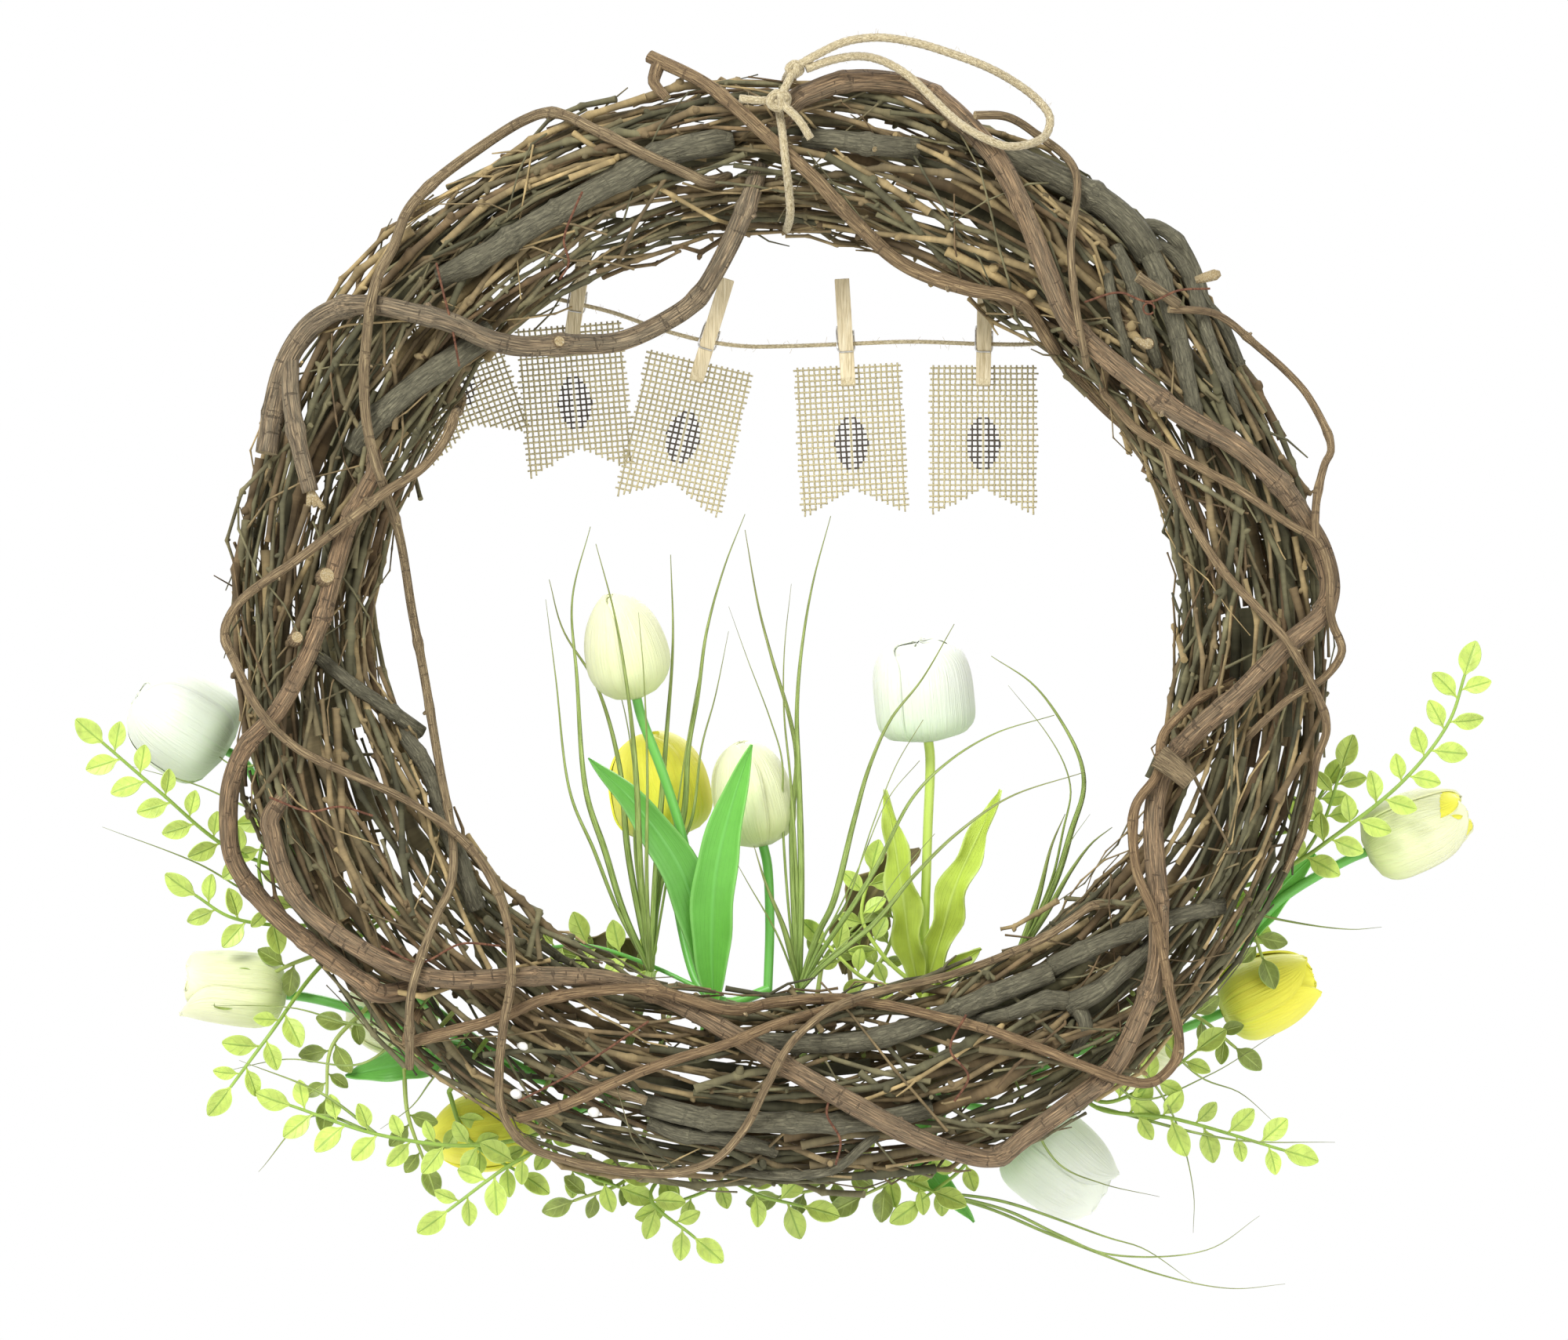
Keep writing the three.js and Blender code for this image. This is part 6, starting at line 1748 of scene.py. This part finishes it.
class WREATH_OT_stems(bpy.types.Operator):
    """Make the tulips' stems with their long leaves"""

    bl_idname = "wreath.stems"
    bl_label = "Stems and leaves"

    def execute(self, context):
        for name, group in STEM_GROUPS.items():
            seeded = draw_from(group["seed"])
            draw = random.Random(name)
            lines, places = [], []
            body = Body()
            for head, route in group["stems"]:
                points = spline([*(neck(head) if head else []), *route], PLANT_STEP)
                thick = STEM_RADIUS if head else TIE_RADIUS
                lines.append((points, thick * np.linspace(1, 0.95, len(points)), 0.55))
            for route, width, wave in group["leaves"]:
                add_leaf(body, route, width, wave, draw)
            for route, start, size in group["sprigs"]:
                line, found = sprig(route, start, size, seeded)
                lines.append(line)
                places.extend(found)
            plant(name, group["finish"], lines, places, body, group["finish"])
        return {"FINISHED"}


# Sprays: seed, foot, sprigs with where their leaflets start, and blades with their depth at foot and tip
SPRAYS = {
    "spray_left": (21, (-172, 43, -126), [
        ([(-205, 42, -112), (-246, 26, -98), (-277, 10, -72), (-302, 4, -50)], 0.35),
        ([(-212, 41, -132), (-246, 24, -128), (-262, 22, -118)], 0.55),
        ([(-205, 41, -148), (-229, 20, -180), (-246, 18, -203)], 0.5),
    ], [([(-172, -126), (-228, -122), (-262, -104), (-304, -88)], (43, 33))]),
    "spray_bottom_left": (22, (-98, 40, -186), [
        ([(-98, 38, -208), (-106, 26, -222), (-139, 20, -229), (-181, 18, -224), (-220, 18, -211)], 0.35),
        ([(-98, 38, -208), (-104, 26, -226), (-126, 18, -240), (-150, 16, -258)], 0.55),
    ], [
        ([(-181, -224), (-205, -206), (-242, -191)], (18, 14)),
        ([(-181, -224), (-210, -216), (-234, -241)], (18, 24)),
    ]),
    "spray_bottom": (23, (-30, 34, -212), [
        ([(-48, 32, -236), (-60, 22, -252), (-40, 18, -270)], 0.3),
        ([(-30, 30, -238), (-14, 20, -250), (8, 18, -256)], 0.45),
        ([(10, 36, -226), (40, 34, -240), (66, 26, -250)], 0.3),
    ], [
        ([(66, -250), (96, -254), (143, -270), (159, -275), (181, -290)], (26, 22)),
        ([(66, -250), (98, -258), (122, -269), (143, -277), (187, -275), (210, -260)], (26, 16)),
        ([(66, -250), (92, -258), (118, -269), (167, -287), (198, -293), (222, -291)], (26, 28)),
    ]),
    "spray_right_low": (24, (122, 37, -170), [
        ([(124, 39, -194), (137, 30, -212), (172, 18, -217), (221, 16, -231)], 0.35),
        ([(124, 39, -194), (140, 28, -210), (160, 20, -203), (182, 18, -187)], 0.55),
    ], [([(137, -212), (198, -226), (243, -227)], (30, 8))]),
    "spray_right": (25, (176, 38, -116), [
        ([(205, 36, -114), (226, 24, -104), (240, 14, -94), (273, 4, -67), (293, 2, -41),
          (300, 2, -20)], 0.3),
        ([(205, 36, -114), (226, 24, -104), (238, 16, -86), (246, 12, -62)], 0.6),
        ([(190, 42, -122), (203, 42, -130)], 0.4),
    ], [([(176, -116), (215, -128), (250, -133), (264, -132)], (38, 14))]),
}

# Short leafy sprigs close to the ring's edge: route, where leaflets start, size, and 1 where their leaflets
# are darkened as painted shade under the ring
EDGE_SPRIGS = [
    ([(-205, 36, -58), (-224, 32, -78), (-234, 28, -104), (-228, 26, -130)], 0.1, 0.9, 0),
    ([(-200, 40, -142), (-222, 34, -150), (-240, 28, -160)], 0.2, 0.95, 1),
    ([(-186, 38, -168), (-202, 32, -186), (-204, 28, -208)], 0.1, 0.95, 1),
    ([(-150, 38, -206), (-142, 34, -226), (-118, 30, -242)], 0.15, 0.95, 0),
    ([(-170, 38, -196), (-168, 32, -216), (-160, 28, -238)], 0.3, 0.9, 1),
    ([(-112, 38, -214), (-98, 32, -238), (-74, 28, -248)], 0.15, 1, 0),
    ([(-62, 38, -222), (-70, 32, -244), (-94, 28, -254)], 0.2, 0.9, 1),
    ([(-20, 38, -222), (-30, 32, -246), (-52, 28, -256)], 0.2, 0.95, 0),
    ([(30, 38, -222), (20, 32, -246), (-2, 28, -252)], 0.2, 0.95, 1),
    ([(62, 38, -220), (50, 32, -243), (34, 28, -252)], 0.15, 1, 1),
    ([(92, 38, -214), (80, 32, -238), (60, 28, -254)], 0.2, 1, 0),
    ([(206, 38, -92), (228, 32, -88), (240, 28, -70)], 0.25, 0.9, 0),
    ([(186, 38, -130), (204, 34, -128), (212, 28, -146)], 0.2, 0.9, 1),
    ([(160, 38, -168), (182, 32, -172), (200, 28, -186)], 0.3, 0.9, 1),
    ([(30, 44, -164), (46, 48, -142), (50, 50, -120)], 0.1, 0.8, 1),
    ([(14, 44, -164), (18, 48, -146), (32, 50, -132)], 0.1, 0.8, 1),
    ([(-50, 46, -166), (-70, 48, -150), (-92, 48, -146)], 0.1, 0.8, 1),
]

# How far from the ring's centre the roots of these sprigs and blades may be
EDGE_ROOTS = (192, 222)

# Loose blades beside the ring: the ends' and a middle's x and z
EDGE_GRASS = [
    [(-227, -82), (-262, -69), (-290, -61)], [(-243, -61), (-256, -53), (-266, -47)],
    [(-182, -175), (-220, -168), (-255, -167)], [(-186, -192), (-222, -191), (-252, -197)],
    [(-157, -200), (-166, -212), (-180, -222)], [(155, -208), (188, -198), (217, -180)],
    [(183, -198), (202, -206), (217, -219)], [(170, -212), (181, -249), (181, -268)],
    [(233, -77), (242, -70), (250, -63)], [(120, -236), (140, -246), (166, -252)],
]

# Grass in the hole: foot, the end of its root, and blades with their depth at foot and tip
TUFTS = {
    "grass_inner_left": ((-60, 34, -153), (-70, ROOT_END, -186), [
        ([(-72, -125), (-80, -98), (-88, -72), (-92, -21), (-94, 13), (-86, 45)], (33, -6)),
        ([(-64, -110), (-66, -60), (-70, -21), (-75, 7), (-83, 37)], (33, -36)),
        ([(-70, -100), (-74, -60), (-84, -25), (-99, 0), (-105, 22)], (33, 26)),
        ([(-58, -114), (-53, -49), (-50, -6), (-51, 33)], (34, 22)),
        ([(-56, -110), (-46, -86), (-43, -52), (-39, -30), (-35, -1), (-27, 28), (-18, 51)], (35, 22)),
    ]),
    "grass_inner_centre": ((6, 33, -161), (8, ROOT_END, -190), [
        ([(4, -129), (3, -83), (5, -58), (2, -40), (-6, -13), (-12, 10), (-18, 44)], (33, 20)),
        ([(7, -114), (6, -67), (5, -37), (7, -10), (12, 20), (20, 50)], (33, 12)),
        ([(14, -136), (21, -121), (30, -85), (37, -60), (46, -40), (60, -22), (74, 2)], (33, -24)),
        ([(18, -140), (28, -125), (40, -105), (56, -74), (72, -58), (92, -46), (118, -38)], (33, -20)),
        ([(16, -150), (39, -130), (57, -108), (75, -90), (98, -74), (131, -63)], (33, -24)),
        ([(0, -135), (-9, -112), (-14, -96)], (33, 12)),
    ]),
    "grass_inner_right": ((103, 33, -146), (110, ROOT_END, -162), [
        ([(120, -112), (127, -89), (132, -72), (131, -60), (125, -46), (110, -25), (91, -12)], (33, 10)),
        ([(112, -120), (118, -96), (124, -82)], (33, 20)),
        ([(116, -126), (127, -107), (136, -95), (145, -88)], (33, 24)),
    ]),
}

# Half the width of a blade in a tuft, beside a spray and beside the ring, its sides and the step along it
TUFT_BLADE = 1.45
SPRAY_BLADE = 0.7
EDGE_BLADE = 0.6
BLADE_SIDES = 8
BLADE_STEP = 3.5


def add_blade(body, flat, depth, wide, tone):
    """A grass blade: its depth goes from foot to tip over the first part of its length."""
    last = len(flat) - 1
    route = [(x, between(*depth, min(1, GRASS_FORWARD * i / last)), z) for i, (x, z) in enumerate(flat)]
    points = spline(route, BLADE_STEP)
    along = np.linspace(0, 1, len(points))
    half = wide * np.clip(1.08 - along, 0.09, 0.75) / 0.75
    thin = np.maximum(0.2, 0.33 * half)
    turns = turns_round(BLADE_SIDES)
    across, through = np.sin(turns)[None, :] / half[:, None], np.cos(turns)[None, :] / thin[:, None]
    shade = np.repeat(0.8 * along + 0.2 * tone, BLADE_SIDES)
    add_tube(body, points, 1 / np.sqrt(across ** 2 + through ** 2), BLADE_SIDES, tone=shade)


class WREATH_OT_sprays(bpy.types.Operator):
    """Make the leafy sprays with the grass beside them"""

    bl_idname = "wreath.sprays"
    bl_label = "Sprays"

    def execute(self, context):
        for name, (seed, foot, sprigs, blades) in SPRAYS.items():
            seeded = draw_from(seed)
            x, y, z = foot
            lines = [(spline([foot, (x, y - 8, z), (x, ROOT_END, z)], PLANT_STEP), 1.6, 0.5)]
            places = []
            for route, start in sprigs:
                line, found = sprig([foot, *route], start, 1, seeded)
                lines.append(line)
                places.extend(found)
            body = Body()
            for i, (route, depth) in enumerate(blades):
                add_blade(body, route, depth, SPRAY_BLADE, 0.3 + 0.2 * i)
            grass = body.build(name + "_grass", [finish("grass_olive")])
            stand_for(grass, "grass_olive", name)
            plant(name, "leaflet_lime", lines, places, None, "leaflet_lime")
        self.add_edge_leaves()
        body = Body()
        for i, route in enumerate(EDGE_GRASS):
            x, z = route[0]
            inward = EDGE_ROOTS[1] / math.hypot(x, z)
            add_blade(body, [(x * inward, z * inward), *route], (ROOT_END, 24), EDGE_BLADE, 0.1 * i)
        stand_for(body.build("edge_grass", [finish("grass_olive")]), "grass_olive")
        return {"FINISHED"}

    def add_edge_leaves(self):
        seeded = draw_from(40)
        # The second finish gives its leaflets painted shade: their green at half its brightness
        for dark, green in enumerate(("leaflet_lime", "leaflet_dark")):
            lines, places = [], []
            for route, start, size, kind in EDGE_SPRIGS:
                if kind == dark:
                    line, found = sprig(route, start, size, seeded)
                    x, _, z = route[0]
                    inward = np.clip(math.hypot(x, z), *EDGE_ROOTS) / math.hypot(x, z)
                    root = spline([(x * inward, ROOT_END, z * inward), route[0]], PLANT_STEP)
                    lines.extend([line, (root, STALK_RADIUS, 0.5)])
                    places.extend(found)
            plant(f"edge_{green}", green, lines, places, None, "leaflet_lime", stands=False)


class WREATH_OT_grass(bpy.types.Operator):
    """Make the tufts of grass in the hole"""

    bl_idname = "wreath.grass"
    bl_label = "Grass"

    def execute(self, context):
        for name, (foot, root_end, blades) in TUFTS.items():
            draw = random.Random(name)
            body = Body()
            middle = [between(a, b, 0.3) for a, b in zip(foot, root_end)]
            root = spline([foot, middle, root_end], PLANT_STEP)
            add_tube(body, root, np.linspace(2.6, 1.8, len(root)), 8, tone=0.3)
            for route, depth in blades:
                add_blade(body, [(foot[0], foot[2]), *route], depth, TUFT_BLADE, draw.random())
                drift = draw.choice((-1, 1)) * draw.uniform(8, 16)
                kept = max(3, len(route) - draw.randrange(1, 3))
                beside = [(x + drift * (i + 1) / kept, z) for i, (x, z) in enumerate(route[:kept])]
                near = (depth[0] + draw.uniform(-1.5, 1.5), depth[1] + draw.uniform(-4, 4))
                add_blade(body, [(foot[0], foot[2]), *beside], near, draw.uniform(0.5, 0.9), draw.random())
            stand_for(body.build(name + "_blades", [finish("grass_olive")]), "grass_olive", name)
        return {"FINISHED"}


# Dried leaves: route, half width, waves and stalk
DRIED_LEAVES = {
    "dried_leaf_right": ([(26, 50, -154), (34, 52, -128), (48, 52, -108), (60, 52, -98)], 11, 2.6,
                         [(28, 51, -148), (30, 40, -164), (34, ROOT_END, -188)]),
    "dried_leaf_left": ([(-60, 48, -152), (-74, 50, -144), (-94, 52, -140)], 7, 1.8,
                        [(-64, 49, -148), (-56, 43, -163), (-54, ROOT_END, -190)]),
}


class WREATH_OT_dried_leaves(bpy.types.Operator):
    """Make the two brown dried leaves"""

    bl_idname = "wreath.dried_leaves"
    bl_label = "Dried leaves"

    def execute(self, context):
        for name, (route, width, wave, stalk) in DRIED_LEAVES.items():
            body = Body()
            add_leaf(body, route, width, wave, random.Random(name), fold=0.3, blunt=0.9)
            lines = [(spline(stalk, PLANT_STEP), STALK_RADIUS, 0.5)]
            plant(name, "dried_brown", lines, [], body, "dried_brown")
        return {"FINISHED"}


# Thin rusty tendrils that bind the vines, as routes of x, depth and z, a rusty ring, and drops of glue
TENDRILS = [
    [(-89, -33, 191), (-92, -37, 184), (-97, -34, 170), (-95, -30, 160), (-99, -28, 153)],
    [(-153, -28, 160), (-150, -36, 148), (-146, -34, 132), (-143, -28, 115)],
    [(131, -30, 143), (146, -34, 147), (159, -32, 143), (172, -31, 148), (186, -27, 149)],
    [(-226, -30, -74), (-208, -36, -80), (-195, -34, -78), (-181, -29, -82)],
    [(-177, -32, -139), (-160, -36, -146), (-142, -34, -138), (-125, -30, -139)],
    [(-117, -30, -207), (-96, -35, -196), (-78, -36, -184), (-60, -31, -172)],
    [(22, -30, -200), (18, -33, -212), (24, -31, -224), (22, -26, -235)],
    [(74, -31, -207), (80, -34, -196), (72, -35, -184), (79, -33, -169)],
]
RUST_RING = (159, -33, 140)
RUST_RING_RADIUS = 2.5
TENDRIL_RADIUS = 0.55
GLUE_RADIUS = 2.1
GLUE_DROPS = [(-118, -28, -204), (-115, -29, -183), (-84, -27, -212)]


class WREATH_OT_small_bits(bpy.types.Operator):
    """Make the binding tendrils and the drops of glue"""

    bl_idname = "wreath.small_bits"
    bl_label = "Small bits"

    def execute(self, context):
        lines = [(spline(route, 1.5), TENDRIL_RADIUS, 0.5) for route in TENDRILS]
        turns = np.linspace(0, 5.6, 14)
        ring = np.column_stack([np.cos(turns), np.zeros(14), np.sin(turns)])
        lines.append((RUST_RING + RUST_RING_RADIUS * ring, 0.5, 0.5))
        stand_for(sweep("tendrils", lines, finish("rust"), 6), "vine_tan")
        body = Body()
        for i, centre in enumerate(GLUE_DROPS):
            draw = random.Random(i)
            x, y, z = centre
            line = spline([(x - 2.6, y + 0.5, z + 0.6), centre, (x + 2.2, y + 0.4, z - 1.2)], 0.5)
            bulge = np.sin(np.linspace(0.12, math.pi - 0.12, len(line))) ** 0.6
            add_tube(body, line, GLUE_RADIUS * bulge * draw.uniform(0.85, 1.1), 12)
        stand_for(body.build("glue_drops", [finish("glue")]), "petal_cream")
        return {"FINISHED"}


# Studio: each light's place in metres, its size and its share of the strength, the room's own light, and
# the floor's reach
LIGHTS = {
    "key_light": ((-1.5, -2.3, 1.7), 1.4, 1.5),
    "fill_light": ((2.2, -2.2, -0.1), 2.0, 0.45),
    "front_light": ((0.4, 2.4, 1.3), 2.0, 0.7),
}
ROOM_LIGHT = 0.66
FLOOR_REACH = 1.5


class WREATH_OT_stage(bpy.types.Operator):
    """Set the camera at the photograph's place, with a pale floor and soft light"""

    bl_idname = "wreath.stage"
    bl_label = "Camera, floor and light"

    def execute(self, context):
        offset = [(PHOTO_SIZE[i] / 2 - PHOTO_CENTRE[i]) * PHOTO_SCALE for i in (0, 1)]
        aim = metres((offset[0], 0, -offset[1]))
        data = bpy.data.cameras.new("camera")
        data.sensor_width = SENSOR_WIDTH
        data.lens = SENSOR_WIDTH * CAMERA_DISTANCE / (PHOTO_SIZE[0] * PHOTO_SCALE / 1000)
        data.clip_end = 50
        camera = placed("camera", data)
        camera.location = (aim[0], aim[1] - CAMERA_DISTANCE, aim[2])
        camera.rotation_euler = (math.radians(90), 0, 0)
        context.scene.camera = camera
        self.add_floor()
        self.add_lights(context.scene)
        return {"FINISHED"}

    def add_floor(self):
        low = metres((0, 0, FLOOR_LEVEL))[2]
        corners = [(x * FLOOR_REACH, y * FLOOR_REACH, low) for x, y in ((-1, -1), (1, -1), (1, 1), (-1, 1))]
        mesh = bpy.data.meshes.new("floor")
        mesh.from_pydata(corners, [], [(0, 1, 2, 3)])
        material, _ = new_finish("pale_floor", {"Roughness": 0.9, "Base Color": (0.85, 0.85, 0.84, 1)})
        mesh.materials.append(material)
        placed("floor", mesh)

    def add_lights(self, scene):
        aim = Vector(metres((0, 0, 0)))
        for name, (place, size, share) in LIGHTS.items():
            data = bpy.data.lights.new(name, "AREA")
            data.size = size
            data.energy = settings().light * share
            light = placed(name, data)
            light.location = place
            light.rotation_euler = (aim - Vector(place)).to_track_quat("-Z", "Y").to_euler()
        scene.world = bpy.data.worlds.new("studio")
        scene.world.use_nodes = True
        tree = scene.world.node_tree
        seen = new_node(tree, "ShaderNodeLightPath")["Is Camera Ray"]
        strength = new_node(tree, "ShaderNodeMapRange", {"Value": seen, "To Min": ROOM_LIGHT})["Result"]
        background = tree.nodes["Background"]
        background.inputs["Color"].default_value = (1, 1, 1, 1)
        tree.links.new(strength, background.inputs["Strength"])
        scene.view_settings.view_transform = "Standard"


class WREATH_PT_panel(bpy.types.Panel):
    bl_idname = "WREATH_PT_panel"
    bl_label = "Wreath"
    bl_space_type = "VIEW_3D"
    bl_region_type = "UI"
    bl_category = "Wreath"

    def draw(self, context):
        for name in WreathSettings.__annotations__:
            self.layout.prop(settings(), name)
        for operator in OPERATORS:
            self.layout.operator(operator.bl_idname)


OPERATORS = (
    WREATH_OT_stage, WREATH_OT_cords, WREATH_OT_knots, WREATH_OT_brushwood, WREATH_OT_vines, WREATH_OT_pegs,
    WREATH_OT_pennants, WREATH_OT_tulips, WREATH_OT_stems, WREATH_OT_sprays, WREATH_OT_grass,
    WREATH_OT_dried_leaves, WREATH_OT_small_bits,
)


def register():
    bpy.utils.register_class(WreathSettings)
    for operator in OPERATORS:
        bpy.utils.register_class(operator)
    bpy.utils.register_class(WREATH_PT_panel)
    bpy.types.Scene.wreath = PointerProperty(type=WreathSettings)


def unregister():
    del bpy.types.Scene.wreath
    bpy.utils.unregister_class(WREATH_PT_panel)
    for operator in reversed(OPERATORS):
        bpy.utils.unregister_class(operator)
    bpy.utils.unregister_class(WreathSettings)


def main():
    register()
    for operator in OPERATORS:
        group, name = operator.bl_idname.split(".")
        getattr(getattr(bpy.ops, group), name)()
    shape = bpy.data.objects.get("leaflet_shape")
    if shape:
        bpy.data.objects.remove(shape)


if __name__ == "__main__":
    main()
